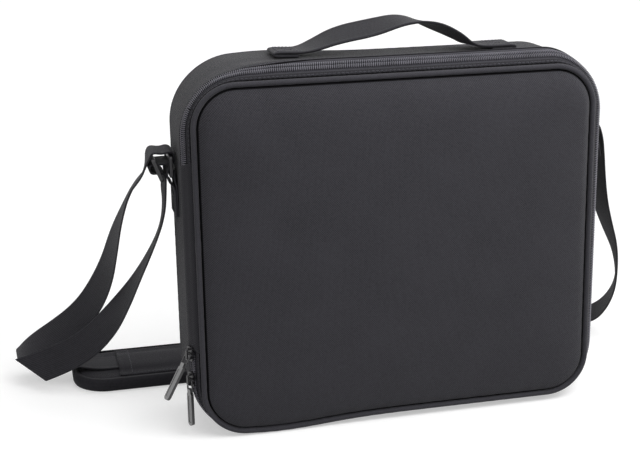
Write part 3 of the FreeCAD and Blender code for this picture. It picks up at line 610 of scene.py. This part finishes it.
def ribbon(name, rows, thickness, ripple, seed, slant=0.0, material=WEB):
    """Webbing through given rows; slant is how far its last cut runs on from edge to edge."""
    line, along, across, face = ribbon_frames(rows)
    section = web_section(WEB_W, thickness)
    length = run_lengths(line)
    side, lift = section[:, 0], section[:, 1]
    bend = ripple * waves(length[:, None], side[None, :], 60.0, seed)
    points = (line[:, None] + across[:, None] * side[None, :, None]
              + face[:, None] * (lift[None, :] + bend)[..., None])
    ease = ramp(1.0 - (length[-1] - length) / 40.0)
    points += along[:, None] * (slant * ease[:, None] * side[None, :] / WEB_W)[..., None]
    obj = net(name, points, "case", [material], sharp=50, **ENDED)
    return obj, line


def stitches(name, spots, along, up, length, radius, body):
    """Row of stitches: short rounded threads that dip into the cloth at both ends."""
    shape = np.array([(-0.5, -1.0, 0.45), (-0.36, 0.15, 1.0), (0.0, 0.45, 1.0), (0.36, 0.15, 1.0),
                      (0.5, -1.0, 0.45)])
    at, lift, r = shape.T[:, :, None, None]
    q = (np.arange(6) * TAU / 6)[:, None]
    along = np.broadcast_to(along, spots.shape)
    up = np.broadcast_to(up, spots.shape)
    rise = radius * (lift - SINK + r * np.sin(q))
    wide = radius * r * np.cos(q)
    verts = sum(ways[:, None, None] * far for ways, far in (
        (spots, 1.0), (along, at * length), (up, rise), (np.cross(along, up), wide)))
    one, _ = grid(verts[0], **ENDED)
    verts = verts.reshape(len(spots), -1, 3)
    faces = [[k * verts.shape[1] + v for v in face] for k in range(len(spots)) for face in one]
    verts = verts.reshape(-1, 3)
    uv = np.concatenate([verts[face][:, [0, 2]] for face in faces])
    make(name, verts, faces, body, [THREAD], uv)


def spaced(line, pitch, others=()):
    """Points at an even pitch along a line, with other values carried along."""
    length = run_lengths(line)
    count = max(2, int(length[-1] / pitch))
    at = (np.arange(count) + 0.5) * length[-1] / count

    def pick(values):
        return np.stack([np.interp(at, length, values[:, k]) for k in range(3)], 1)

    return pick(line), [unit(pick(v)) for v in others]


def seam_stitches(name, t, d, n, body):
    """Row of stitches along the gusset at one depth."""
    d = np.broadcast_to(d, t.shape)[:, None]
    points = skin_points(t, d, [n])[:, 0]
    above = skin_points(t, d, [n + 1.0])[:, 0]
    line, (up,) = spaced(points, STITCH, [above - points])
    stitches(name, line, heading(line), up, 2.4, 0.26, body)


strap, strap_line = ribbon("shoulder_strap", STRAP, 1.4, 0.25, 1.0, 20.0)
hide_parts("strap_right", "strap_run", "strap_left", "strap_loop", "strap_tail")


# Floor and light
def seen_directly(tree):
    """1 for what is seen straight or mirrored, 0 for light that falls on the object."""
    path = node(tree, "ShaderNodeLightPath")
    mirrored = math_node(tree, "MAXIMUM", path.outputs["Is Glossy Ray"], path.outputs["Is Transmission Ray"])
    return math_node(tree, "MAXIMUM", path.outputs["Is Camera Ray"], mirrored)


# Suns: place, spread in degrees and power; and a softbox over the front: place, aim, size and power
SUNS = [("key", (0.9, -0.6, 0.9), 40.0, 0.5), ("fill", (-0.8, -0.8, 0.6), 60.0, 0.4),
        ("top", (0.2, -0.15, 1.0), 60.0, 1.15), ("back", (0.2, 0.9, 0.4), 60.0, 0.35)]
SOFTBOX = ((0.20, -0.34, 0.54), (-0.18, 0.30, -0.33), (0.6, 0.2), 2.0)
FLOOR = 4.0


def lamp(name, kind, place, aim, power):
    obj = bpy.data.objects.new(name, bpy.data.lights.new(name, kind))
    obj.data.energy = power
    obj.location = place
    obj.rotation_mode = "QUATERNION"
    obj.rotation_quaternion = Vector(aim).to_track_quat("-Z", "Y")
    scene.collection.objects.link(obj)
    return obj


def studio():
    mesh = bpy.data.meshes.new("floor")
    corners = [(-FLOOR, -FLOOR, 0), (FLOOR, -FLOOR, 0), (FLOOR, FLOOR, 0), (-FLOOR, FLOOR, 0)]
    mesh.from_pydata(corners, [], [(0, 1, 2, 3)])
    floor = bpy.data.objects.new("floor", mesh)
    scene.collection.objects.link(floor)
    m, tree, shader = new_material("floor_paper", (0.9, 0.9, 0.9), 0.9, 0.0, 0.5, 0.1)
    tone = map_range(tree, noise(tree, object_place(tree), 300.0), 0.3, 0.7, 0.96, 1.0)
    seen = seen_directly(tree)
    paper = map_range(tree, seen, 0.0, 1.0, 0.5, 0.65)
    tree.links.new(math_node(tree, "MULTIPLY", tone, paper), shader.inputs["Base Color"])
    shader.inputs["Emission Color"].default_value = (1.0, 1.0, 1.0, 1.0)
    tree.links.new(math_node(tree, "MULTIPLY", seen, 0.45), shader.inputs["Emission Strength"])
    mesh.materials.append(m)
    world = bpy.data.worlds.new("studio")
    scene.world = world
    world.use_nodes = True
    tree = world.node_tree
    back = tree.nodes["Background"]
    back.inputs[0].default_value = (1.0, 1.0, 1.0, 1.0)
    tree.links.new(map_range(tree, seen_directly(tree), 0.0, 1.0, 0.34, 1.0), back.inputs[1])
    for name, place, spread, power in SUNS:
        lamp(name, "SUN", place, -Vector(place), power).data.angle = math.radians(spread)
    place, aim, size, power = SOFTBOX
    softbox = lamp("softbox", "AREA", place, aim, power)
    softbox.data.shape = "RECTANGLE"
    softbox.data.size, softbox.data.size_y = size
    softbox.visible_camera = False
    scene.view_settings.view_transform = "Standard"


studio()


# Padding swells the cloth over it: pressure, frames, and how far the swell is kept, in millimetres
PRESSURE = 4.0
FRAMES = 20
PANEL_SWELL = 1.6
PAD_SWELL = 1.2
HELD_ROWS = range(5)


def run_cloth(obj, pressure, held=""):
    """Points, in millimetres, of a piece after its cloth has swelled without gravity."""
    cloth_sim = obj.modifiers.new("swell", "CLOTH")
    cloth_sim.settings.quality = 5
    cloth_sim.settings.use_pressure = True
    cloth_sim.settings.uniform_pressure_force = pressure
    cloth_sim.settings.vertex_group_mass = held
    cloth_sim.settings.effector_weights.gravity = 0.0
    cloth_sim.point_cache.frame_start = 1
    cloth_sim.point_cache.frame_end = FRAMES
    for frame_number in range(1, FRAMES + 1):
        scene.frame_set(frame_number)
    swelled = obj.evaluated_get(bpy.context.evaluated_depsgraph_get()).to_mesh()
    found = np.empty(len(swelled.vertices) * 3)
    swelled.vertices.foreach_get("co", found)
    scene.frame_set(1)
    obj.modifiers.remove(cloth_sim)
    return found.reshape(-1, 3) / MM


def kept_within(move, most):
    """A swell scaled so that no point moves further than most."""
    return move * min(1.0, most / np.linalg.norm(move, axis=-1).max())


def swelled_net(points, facing):
    """How far cloth through a net of points, closed along i, swells when its held rows stay still."""
    n, m = points.shape[:2]
    mesh = bpy.data.meshes.new("swell")
    mesh.from_pydata((points.reshape(-1, 3) * MM).tolist(), [], grid(points, round_i=True)[0])
    mesh.update()
    obj = bpy.data.objects.new("swell", mesh)
    scene.collection.objects.link(obj)
    held = obj.vertex_groups.new(name="held")
    held.add([i * m + j for i in range(n) for j in HELD_ROWS], 1.0, "REPLACE")
    out = 1.0 if sum(f.normal.y * f.area for f in mesh.polygons) * facing > 0.0 else -1.0
    move = run_cloth(obj, PRESSURE * out, "held").reshape(n, m, 3) - points
    bpy.data.objects.remove(obj)
    bpy.data.meshes.remove(mesh)
    return kept_within(move, PANEL_SWELL)


# Padded panels
CROWN_STEPS = [0.0, 0.35, 0.8, 1.4, 2.2, 3.6, 5.5, 8.0, 11.0, 15.0, 20.0, 26.0, 33.0, 41.0, 50.0, 60.0]
CROWN_RUN = CROWN_STEPS[-1]
SHARES = [0.86, 0.72, 0.58, 0.44, 0.3, 0.16, 0.03]
FINE_SHARES = SHARES + [0.006]
TUCK = 2.6               # how far a panel's edge is drawn into its seam


def rings(t, rows, shares):
    """Outlines one after another, given as (outset, y), then the last one drawn in to its middle."""
    points = []
    for u, y in rows:
        x, z, _ = outline(t, u, y - Y_FRONT)
        points.append(np.stack([x, np.full_like(x, y), z], 1))
    edge = points[-1]
    middle = edge.mean(0)
    for share in shares:
        points.append(middle + share * (edge - middle))
    return np.stack(points, 1)


def panel(name, edge_u, y_edge, facing, crown, back, body, seed):
    """Padded cloth panel: tucked into the seam, crowned, with faint puckers along its edge."""
    t = all_round(1.5)
    coarse = all_round(6.0)
    rows = []
    for inset in CROWN_STEPS:
        share = 0.3 * (1.0 - (1.0 - inset / CROWN_RUN) ** 2) + 0.7 * (1.0 - math.exp(-inset / 11.0))
        rise = crown * share - TUCK * math.exp(-inset / 0.75)
        rows.append((edge_u - inset, y_edge + facing * rise))
    inset = np.array(CROWN_STEPS + [CROWN_RUN] * len(SHARES))
    outer = rings(t, rows, SHARES)
    move = swelled_net(rings(coarse, rows, SHARES), facing)
    for j in range(outer.shape[1]):
        for axis in range(3):
            outer[:, j, axis] += np.interp(t, coarse, move[:, j, axis], period=ROUND)
    ripple = np.sin(t * 97.0 + 2.0 * np.sin(t * 11.0 + seed))[:, None]
    pucker = 0.22 * bell(inset, 4.0, 4.0) * ripple
    soft = np.minimum(1.0, inset / 25.0) * 0.45 * waves(outer[..., 0], outer[..., 2], 95.0, seed)
    below = np.maximum(HIGH + edge_u - outer[..., 2], 0.0)
    roll = crown * 0.8 * (1.0 - np.exp(-below / 14.0)) * np.minimum(1.0, inset / 6.0) * np.exp(-below / 170.0)
    outer[..., 1] += facing * (pucker + soft + roll)
    inner = rings(t, [(edge_u + 1.9, back)], SHARES)[:, ::-1]
    # Painted shade on the rows where the panel tucks into its seam
    dark = range(inner.shape[1] - 1, inner.shape[1] + 3)
    obj = net(name, np.concatenate([inner, outer], 1), body, [PANEL, PAINTED_SEAM_SHADE], dark_rows=dark, **DISC)
    return obj


front = panel("front_panel_cloth", 0.0, Y_FRONT, -1.0, 6.5, Y_FRONT + 3.0, "lid", 1.0)
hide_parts("front_panel", "lid_foam")
rear = panel("back_panel_cloth", BACK_U, Y_FRONT + DEPTH, 1.0, 2.0, Y_FRONT + DEPTH - 3.0, "case", 4.0)
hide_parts("back_panel", "back_foam")


# Piping
CORD = 1.98


def piping(name, u, depth, body, node_name, seed, join=None):
    """Cord in cloth round a panel, a little thicker where its ends lap at the place join."""
    t = all_round(1.2)
    q = np.arange(14) * TAU / 14
    radius = CORD + 0.05 * np.sin(t * 140.0 + seed) * np.sin(t * 9.0 + seed)
    if join is not None:
        s = (t - join) * SIDE
        radius = radius + 0.16 * ((s > 0.0) & (s < 9.0))
    out = u + radius[:, None] * np.cos(q)[None]
    deep = depth - radius[:, None] * np.sin(q)[None]
    obj = net(name, sweep_points(t, deep, out), body, [PIPING], **RING)
    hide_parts(node_name)


piping("front_piping_cord", 2.1, 0.4, "lid", "front_piping", 0.5, 6.40)
piping("back_piping_cord", 8.0, DEPTH - 0.4, "case", "back_piping", 2.5)


# Gusset cloth
def lid_strip(name, t, body, replaced):
    """Puckered strip of cloth between the front piping and the chain."""
    d = [2.3, 2.8, 3.2, 3.5, 3.7, 3.9, 4.1, 4.3, 4.6, 5.0, 5.4, 5.65, 5.7, 5.6, 5.4, 2.3]
    n = [-1.55, -1.4, -1.0, -0.5, -0.15, 0.0, -0.05, -0.22, 0.02, 0.12, 0.0, -0.35, -0.8, -1.4, -1.5, -1.6]
    x, z, _ = outline(t, 3.0, 3.0)
    along = np.concatenate([[0.0], np.cumsum(np.hypot(np.diff(x), np.diff(z)))])
    pucker = np.array([0.0, 0.0, 0.1, 0.25, 0.3, 0.3, 0.2, 0.05] + [0.0] * 8)
    n = np.array(n)[None, :] + pucker[None, :] * np.sin(along * TAU / 3.6 + np.sin(along / 17.0))[:, None]
    # Painted shade on the strip's rows in the grooves along both its edges
    obj = net(name, skin_points(t, d, n), body, [GUSSET, PAINTED_SEAM_SHADE], dark_rows=(0, 1, 2, 11, 12), **ENDED)
    if replaced:
        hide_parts(*replaced)
    seam_stitches(name + "_stitches", t, 4.25, -0.1, body)


lid_strip("lid_strip_cloth", places(LID_FROM, LID_TO, 0.9), "lid", ["lid_gusset"])


def rear_gusset():
    """Walls of the case: a hem along the chain, soft cloth, and the seam at the back piping."""
    t = all_round(1.5)
    d = np.array([13.3, 13.0, 12.9, 12.95, 13.1, 13.5, 14.2, 14.7, 15.2, 16.2, 18.0, 22.0, 27.0, 33.0, 39.0,
                  45.0, 51.0, 57.0, 62.0, 65.5, 67.0, 67.5, 67.2])
    n = np.array([-1.2, -0.8, -0.4, 0.0, 0.22, 0.28, 0.08, -0.16, 0.02, 0.12, 0.05] + [0.0] * 8
                 + [-0.05, -0.25, -0.8, -1.2])
    x, z, faces_up = outline(t, 0.0, 0.0)
    along = np.cumsum(np.hypot(np.gradient(x), np.gradient(z)))
    soft = waves(along[:, None], d[None, :], 70.0, 3.0) * 0.55 * ramp((d - 15.0) / 8.0)
    soft = soft * ramp((66.0 - d) / 6.0)
    grounded = ramp(-faces_up)[:, None]
    soft = soft * (1.0 - grounded) - grounded * np.abs(soft) * 0.3
    back = 5.0 * tape_open(t)[:, None]
    hem = d[None, :] + back * ramp((24.0 - d) / 12.0)[None, :]
    points = skin_points(t, hem, n[None, :] + soft)
    lined = [20, 18, 16, 14, 13, 12, 11, 10, 8, 5, 1]
    inner = skin_points(t, hem[:, lined] - 0.3, np.full(len(lined), -1.3))
    # Painted shade on the gusset's rows in the grooves at its hem and at the back seam
    obj = net("gusset_cloth", np.concatenate([points, inner], 1), "case", [GUSSET, PAINTED_SEAM_SHADE],
              dark_rows=(0, 1, 2, 21, 22), **RING)
    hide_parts("rear_gusset", "gusset_foam")
    seam_stitches("gusset_stitches", t, 14.7 + 0.78 * back[:, 0], -0.12, "case")


rear_gusset()


def spine():
    """Plain cloth on the left between the chain's ends, hemmed over them, with its strips of lid cloth."""
    t = places(HEM_TOP, HEM_BOTTOM, 1.5)
    d = np.array([2.6, 2.9, 3.4, 4.2, 5.2, 6.2, 7.2, 8.3, 9.4, 10.6, 12.0, 13.6, 15.5, 18.0, 21.0, 24.0])
    ridge = 0.5 * bell(d, 5.0, 1.6) + 0.75 * bell(d, 12.5, 4.0)
    s = (t - HEM_TOP) * SIDE
    rest = (HEM_BOTTOM - HEM_TOP) * SIDE - s
    fade = ramp(np.minimum(s, rest) / 14.0)[:, None]
    hem = 0.4 * (bell(s, 2.0, 1.6) + bell(rest, 2.0, 1.6))[:, None]
    n = 0.12 + ridge[None] * (0.5 + 0.5 * fade) + hem * ramp((16.0 - d) / 4.0)[None]
    n = n + 0.14 * waves(s[:, None], d[None] * 4.0, 40.0, 5.0)
    n[:, 0] = -0.6
    n[:, -2] = 0.3
    n[:, -1] = -0.8
    outer = skin_points(t, d, n)
    inner = skin_points(t, [23.5, 2.6], [-1.3, -1.4])
    obj = net("spine_cloth", np.concatenate([outer, inner], 1), "case", [GUSSET], **ENDED)
    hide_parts("spine_panel")
    lid_strip("upper_spine_strip", places(SPINE_FROM + END_GAP, HEM_TOP + 0.01, 1.5), "case", [])
    lid_strip("lower_spine_strip", places(HEM_BOTTOM - 0.01, SPINE_TO - END_GAP, 1.5), "case", [])


spine()


# Zipper
def tape(name, t, d, body, replaced):
    """Zipper tape; the case's side stands up and lies open along the top."""
    deep = np.linspace(d[0], d[1], 6)[None, :]
    lift = np.full((1, 6), -1.5)
    if d[1] > CHAIN_MID:
        share = tape_open(t)[:, None]
        deep = deep + share * (np.array([[9.4, 12.2, 12.7, 13.6, 15.5, 18.2]]) - deep)
        lift = lift + share * (np.array([[-1.5, -1.4, -0.7, -0.3, -0.3, -0.5]]) - lift)
    outer = skin_points(t, deep, lift)
    inner = skin_points(t, deep[:, ::-1], lift[:, ::-1] - 0.7)
    obj = net(name, np.concatenate([outer, inner], 1), body, [TAPE], sharp=40, **ENDED)
    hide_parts(replaced)


def coil(name, t0, t1, toward, body, replaced, phase):
    """Nylon coil: one wire wound along the tape, its heads meeting those of the other side, with shade
    painted on the lower half of its windings.
    """
    pitch, wire, per = 1.35, 0.30, 10
    half_w, half_h = 1.08, 0.72
    level = -0.45
    fine = places(t0, t1, 0.8)
    depth_mid = CHAIN_MID + toward * 1.38
    length = run_lengths(skin_points(fine, [depth_mid], [level])[:, 0])
    turns = int(length[-1] / pitch)
    steps = np.arange(turns * per + 1)
    angle = steps * TAU / per + phase
    at = steps / (turns * per) * length[-1]
    t = np.interp(at, length, fine)
    lean = 0.18 * np.cos(angle)
    d = depth_mid + toward * (-half_w) * np.cos(angle)
    n = level + half_h * np.sin(angle)
    depth, out = skin(d, n)
    x, z, _ = outline(t + lean / SIDE, out + crest(t, d), depth)
    line = np.stack([x, Y_FRONT + depth, z], 1)
    along = heading(line)
    centre = skin_points(t, [depth_mid], [level])[:, 0]
    out_dir = unit(line - centre - along * ((line - centre) * along).sum(1, keepdims=True))
    side = np.cross(along, out_dir)
    q = (np.arange(5) * TAU / 5)[None, :, None]
    points = line[:, None] + wire * (out_dir[:, None] * np.cos(q) + side[:, None] * np.sin(q))
    # Painted shade on the lower half of every winding, where the top windings shade it
    obj = net(name, points, body, [COIL, PAINTED_SEAM_SHADE], dark_steps=np.sin(angle) < -0.1, **ENDED)
    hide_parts(replaced)


UPPER_END = (SPINE_FROM + END_GAP, HEM_TOP + CHAIN_LAP)
LOWER_END = (CHAIN_FROM, SPINE_TO - END_GAP)
tape("lid_tape", places(LID_FROM, LID_TO, 2.0), LID_TAPE, "lid", "lid_zipper_tape")
tape("case_tape", places(CHAIN_FROM, CHAIN_TO, 2.0), CASE_TAPE, "case", "case_zipper_tape")
tape("upper_end_tape", places(*UPPER_END, 2.0), LID_TAPE, "case", "upper_chain_tape")
tape("lower_end_tape", places(*LOWER_END, 2.0), LID_TAPE, "case", "lower_chain_tape")
coil("lid_coil", LID_FROM, LID_TO, -1.0, "lid", "lid_zipper_coil", 0.0)
coil("case_coil", CHAIN_FROM, CHAIN_TO, 1.0, "case", "case_zipper_coil", math.pi)
coil("upper_end_coil", *UPPER_END, -1.0, "case", "upper_chain_coil", 0.0)
coil("lower_end_coil", *LOWER_END, -1.0, "case", "lower_chain_coil", 0.0)


# Linings and bound edges
def lid_lining():
    """Lining of the lid, a little uneven."""
    t = all_round(2.0)
    u, y = -3.0, Y_FRONT + 6.1
    inset = [0.0, 2.0, 6.0, 14.0, 26.0, 40.0, 58.0]
    outer = rings(t, [(u - step, y) for step in inset], FINE_SHARES)
    ease = np.minimum(1.0, np.array(inset + inset[-1:] * len(FINE_SHARES)) / 12.0)
    outer[..., 1] += ease * (0.35 * waves(outer[..., 0], outer[..., 2], 60.0, 7.0) - 0.1)
    inner = rings(t, [(u, y - 0.7)], SHARES)[:, ::-1]
    obj = net("lid_lining_cloth", np.concatenate([inner, outer], 1), "lid", [LINING], **DISC)
    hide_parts("lid_lining")


lid_lining()


def tub_lining():
    """Lining of the case's walls and back."""
    t = all_round(2.0)
    u, y0, y1 = 3.8, -17.0, 28.8
    walls = [(u, y) for y in np.linspace(y0, y1 - 3.0, 9)] + [(u - 0.6, y1 - 1.0), (u - 2.5, y1)]
    rows = walls + [(u - step, y1) for step in (8.0, 16.0, 28.0, 42.0, 60.0)]
    inner = rings(t, rows, FINE_SHARES)
    on_back = np.arange(inner.shape[1]) >= len(walls)
    inner[..., 1] -= on_back * 0.3 * np.abs(waves(inner[..., 0], inner[..., 2], 55.0, 8.0))
    outer = rings(t, [(u + 0.75, y0), (u + 0.5, y1 + 0.75)], SHARES)[:, ::-1]
    points = np.concatenate([outer, inner], 1)
    obj = net("case_lining_cloth", points, "case", [LINING], **DISC)
    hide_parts("case_lining")


tub_lining()


def bound_edge(name, section, body, replaced):
    """Tape folded over a raw edge, from a section of (outset, y)."""
    t = all_round(1.6)
    out = [u for u, _ in section]
    deep = [y - Y_FRONT for _, y in section]
    obj = net(name, sweep_points(t, deep, out), body, [GROSGRAIN], **RING)
    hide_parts(replaced)


LID_EDGE = [(-0.3, -33.5), (-0.15, -30.5), (-0.5, -29.2), (-1.4, -28.8), (-3.0, -28.85), (-3.8, -29.1),
            (-3.9, -30.0), (-3.8, -33.3)]
CASE_EDGE = [(7.8, -17.2), (7.9, -17.9), (7.3, -18.3), (5.8, -18.45), (4.4, -18.3), (3.75, -17.8),
             (3.8, -17.1)]
bound_edge("lid_binding_tape", LID_EDGE, "lid", "lid_binding")
bound_edge("case_binding_tape", CASE_EDGE, "case", "case_binding")


# Handle and anchor tabs
# Arch of the handle: shares of half its span and of its rise, then degrees that it leans to the front
ARCH = [(-1.2, 0.0, 0.0), (-1.02, 0.16, 8.0), (-0.71, 0.53, 19.0), (-0.27, 0.74, 21.0), (0.15, 1.01, 8.0),
        (0.51, 0.76, -17.0), (0.81, 0.37, -15.0), (0.98, 0.04, -6.0), (1.14, 0.0, 0.0)]
HANDLE_X, HANDLE_Y = 8.0, 10.0
HANDLE_HALF, HANDLE_RISE = 59.0, 22.0
TAB_Y = 12.5


def handle_lift(x):
    """How far the top under the handle is pulled up."""
    return float(pulled_up(x, HANDLE_Y - Y_FRONT))


def handle():
    """Arched webbing, both ends folded under and sewn down with a crossed box of stitches."""
    low, high, sewn = 271.1, 273.3, 274.3
    foot = [(73.0, low), (81.0, low), (90.6, low), (90.6, high), (81.0, high)]
    rows = [(HANDLE_X - x, HANDLE_Y, z + handle_lift(HANDLE_X - x)) for x, z in foot]
    for span, lift, degrees in ARCH:
        lean = math.radians(degrees)
        x = HANDLE_X + span * HANDLE_HALF
        z = high + lift * HANDLE_RISE + handle_lift(x)
        rows.append((x, HANDLE_Y, z, 0.0, math.cos(lean), math.sin(lean)))
    rows += [(HANDLE_X + x, HANDLE_Y, z) for x, z in foot[::-1]]
    obj = ribbon("carry_handle", rows, 1.9, 0.1, 2.0)[0]
    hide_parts("handle_web")
    for name, side in (("handle_stitches_left", -1.0), ("handle_stitches_right", 1.0)):
        x0, x1 = HANDLE_X + side * 70.0, HANDLE_X + side * 87.5
        corners = [(x0, 0.0), (x1, 0.0), (x1, 20.0), (x0, 20.0), (x0, 0.0), (x1, 20.0), (x1, 0.0), (x0, 20.0)]
        path = []
        for (xa, ya), (xb, yb) in zip(corners, corners[1:]):
            for f in np.linspace(0.0, 1.0, 12, endpoint=False):
                x = xa + f * (xb - xa)
                path.append((x, ya + f * (yb - ya), sewn + handle_lift(x)))
        spots, _ = spaced(np.array(path), 2.7)
        stitches(name, spots, heading(spots), UP, 2.1, 0.3, "case")


handle()


def anchor_tab(name, side, shift, replaced):
    """Webbing folded round a ring, both ends sewn to the side of the case."""
    inner, outer = 155.7, 157.0
    behind, ahead = 157.1, 161.9
    over = 197.3
    rows = [(inner, 161.5), (inner, 173.5), (inner, 184.5), (behind, 188.0), (behind - 0.3, over),
            (ahead + 0.6, over), (ahead, 188.0), (outer, 183.5), (outer, 173.5), (outer, 161.5)]
    path = [(side * (x + shift), TAB_Y, z) for x, z in rows]
    # The tabs take the copy of the webbing painted lighter against their shade
    obj = ribbon(name, path, 1.2, 0.0, 3.0, 0.0, PAINTED_LIGHTER_TAB_WEB)[0]
    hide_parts(replaced)
    x = side * (outer + shift + 0.62)
    spots = np.array([(x, y, z) for z in (164.0, 177.0) for y in np.arange(2.5, 23.0, 2.7)])
    stitches(name + "_stitches", spots, ACROSS, (side, 0.0, 0.0), 2.1, 0.24, "case")


anchor_tab("left_tab_web", -1.0, 0.0, "left_anchor_tab")
anchor_tab("right_tab_web", 1.0, RIGHT_SWELL, "right_anchor_tab")


# Shoulder pad
PAD = (-236.0, 34.0, 70.0, 138.0)
PAD_CORNER = 28.0
PAD_Y = 104.0
PAD_TOP = 10.1
PAD_LONG, PAD_SHORT, PAD_ARC = 80, 8, 26
PAD_VOXEL = 3.5
SLEEVE = (-199.0, -3.0)


def pad_outline(inset):
    """Rounded outline of the pad, drawn in by inset."""
    x0, x1, y0, y1 = PAD[0] + inset, PAD[1] - inset, PAD[2] + inset, PAD[3] - inset
    r = max(PAD_CORNER - inset, 0.4)
    out = []
    arcs = [(x1 - r, y0 + r, -90.0), (x1 - r, y1 - r, 0.0), (x0 + r, y1 - r, 90.0), (x0 + r, y0 + r, 180.0)]
    sides = [((x0 + r, y0), (x1 - r, y0), PAD_LONG), ((x1, y0 + r), (x1, y1 - r), PAD_SHORT),
             ((x1 - r, y1), (x0 + r, y1), PAD_LONG), ((x0, y1 - r), (x0, y0 + r), PAD_SHORT)]
    for (a, b, count), (cx, cy, angle) in zip(sides, arcs):
        for f in np.linspace(0.0, 1.0, count, endpoint=False):
            out.append((a[0] + f * (b[0] - a[0]), a[1] + f * (b[1] - a[1])))
        for f in np.linspace(0.0, 1.0, PAD_ARC, endpoint=False):
            q = math.radians(angle + 90.0 * f)
            out.append((cx + r * math.cos(q), cy + r * math.sin(q)))
    return np.array(out)


def pad_rings(rows):
    """Outlines of the pad one after another, given as (inset, height)."""
    return np.stack([np.insert(pad_outline(inset), 2, z, axis=1) for inset, z in rows], 1)


def swell_pad(obj):
    """Remeshes the pad evenly and lets its cloth swell a little, flat where it lies on the floor."""
    remesh = obj.modifiers.new("even", "REMESH")
    remesh.mode = "VOXEL"
    remesh.voxel_size = PAD_VOXEL * MM
    remesh.use_smooth_shade = True
    even = bpy.data.meshes.new_from_object(obj.evaluated_get(bpy.context.evaluated_depsgraph_get()))
    obj.modifiers.remove(remesh)
    even.materials.clear()
    even.materials.append(PAD_CLOTH)
    old, obj.data = obj.data, even
    bpy.data.meshes.remove(old)
    start = np.empty(len(even.vertices) * 3)
    even.vertices.foreach_get("co", start)
    start = start.reshape(-1, 3) / MM
    after = start + kept_within(run_cloth(obj, PRESSURE) - start, PAD_SWELL)
    after[:, 2] = np.clip(after[:, 2], 0.05, 10.15)
    even.vertices.foreach_set("co", (after * MM).ravel())
    even.update()
    smooth = obj.modifiers.new("smooth", "SUBSURF")
    smooth.levels = 1
    smooth.render_levels = 1


def shoulder_pad():
    """Cushion that lies on the floor, and the tape bound round its edge."""
    rows = [(33.0, 0.05), (12.0, 0.05), (3.6, 0.05), (1.9, 1.0), (1.2, 2.6), (1.05, 5.0), (1.2, 7.2),
            (2.0, 8.7), (3.6, 9.5), (6.5, 9.95), (10.0, 10.0), (15.0, 9.95), (20.0, 9.95), (26.0, 9.95),
            (33.0, 9.95)]
    points = pad_rings(rows)
    on_top = points[..., 2] > 8.0
    points[..., 2] += on_top * 0.18 * waves(points[..., 0], points[..., 1], 45.0, 2.0)
    obj = net("pad_cushion", points, "shoulder_pad", [PAD_CLOTH], **DISC)
    swell_pad(obj)
    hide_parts("shoulder_pad")
    edge = [(4.6, 0.25), (2.4, 0.12), (0.9, 0.9), (0.15, 2.6), (0.0, 5.0), (0.15, 7.4), (0.9, 9.1),
            (2.6, 10.1), (4.8, 10.25), (4.8, 9.9), (2.0, 9.0), (0.9, 7.0), (0.9, 3.0), (2.0, 0.9)]
    bound = net("pad_binding_tape", pad_rings(edge), "shoulder_pad", [GROSGRAIN], **RING)
    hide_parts("pad_binding")
    return obj, bound


cushion, pad_edge = shoulder_pad()


def sleeve():
    """Cloth tunnel sewn along both long sides of the pad, hemmed at its ends."""
    start, end = SLEEVE
    xs = np.concatenate([np.linspace(start, start + 12.0, 9), np.linspace(start + 15.0, end - 15.0, 54),
                         np.linspace(end - 12.0, end, 9)])
    half_y = np.array([27.0, 26.2, 24.0, 21.5, 19.0, 16.5, 14.5, 10.0, 5.0])
    half_lift = np.array([0.35, 0.7, 0.75, 0.7, 0.8, 1.4, 2.1, 2.65, 2.8])
    ys = np.concatenate([-half_y, [0.0], half_y[::-1]])
    lift = np.concatenate([half_lift, [2.85], half_lift[::-1]])
    ends = np.minimum(xs - start, end - xs)
    hem = 0.35 * bell(ends, 1.2, 1.2) + 0.18 * (ends < 10.0)
    soft = 0.15 * waves(xs[:, None], ys[None] + PAD_Y, 38.0, 6.0) * (lift[None] > 1.0)
    z = PAD_TOP + lift[None] + hem[:, None] + soft
    top = np.stack([*np.meshgrid(xs, ys + PAD_Y, indexing="ij"), z], 2)
    below = top[:, ::-1].copy()
    below[..., 2] -= 0.6
    below[..., 2] = np.maximum(below[..., 2], 10.12)
    points = np.concatenate([top, below], 1)
    obj = net("pad_sleeve_cloth", points, "shoulder_pad", [PAD_CLOTH], sharp=60, **ENDED)
    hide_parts("pad_sleeve")
    lines = [[(start + 1.0, PAD_Y + y, 10.85), (end - 1.0, PAD_Y + y, 10.85)] for y in (-24.5, 24.5)]
    over = [(PAD_Y + y, PAD_TOP + np.interp(y, ys, lift) + 0.16) for y in np.linspace(-24.0, 24.0, 40)]
    lines += [[(x, y, z) for y, z in over] for x in (start + 10.0, end - 10.0)]
    rows = [spaced(np.array(line), 2.9)[0] for line in lines]
    directions = np.concatenate([heading(row) for row in rows])
    stitches("pad_stitches", np.concatenate(rows), directions, UP, 2.2, 0.24, "shoulder_pad")
    return obj


pad_sleeve = sleeve()


def face_area(face):
    return face.area


# Hard pieces keep their solids: material, or None for the grey tabs, and the width of softened edges
HARD = [("left_ring", PLASTIC, 0.0), ("right_ring", PLASTIC, 0.0), ("tri_glide", PLASTIC, 0.0),
        ("upper_slider", ENAMEL, 0.18), ("lower_slider", ENAMEL, 0.18), ("upper_pull_link", ENAMEL, 0.0),
        ("lower_pull_link", ENAMEL, 0.0), ("upper_pull_tab", None, 0.55), ("lower_pull_tab", None, 0.55)]
for name, material, width in HARD:
    piece = nodes[name]
    if material is None:
        widest = max(piece.data.polygons, key=face_area)
        material = pull_material(name + "_grey", tuple(widest.normal))
    piece.data.materials.clear()
    piece.data.materials.append(material)
    if width:
        bevel = piece.modifiers.new("edges", "BEVEL")
        bevel.width = width * MM
        bevel.segments = 3
        bevel.limit_method = "ANGLE"
        bevel.angle_limit = math.radians(40.0)
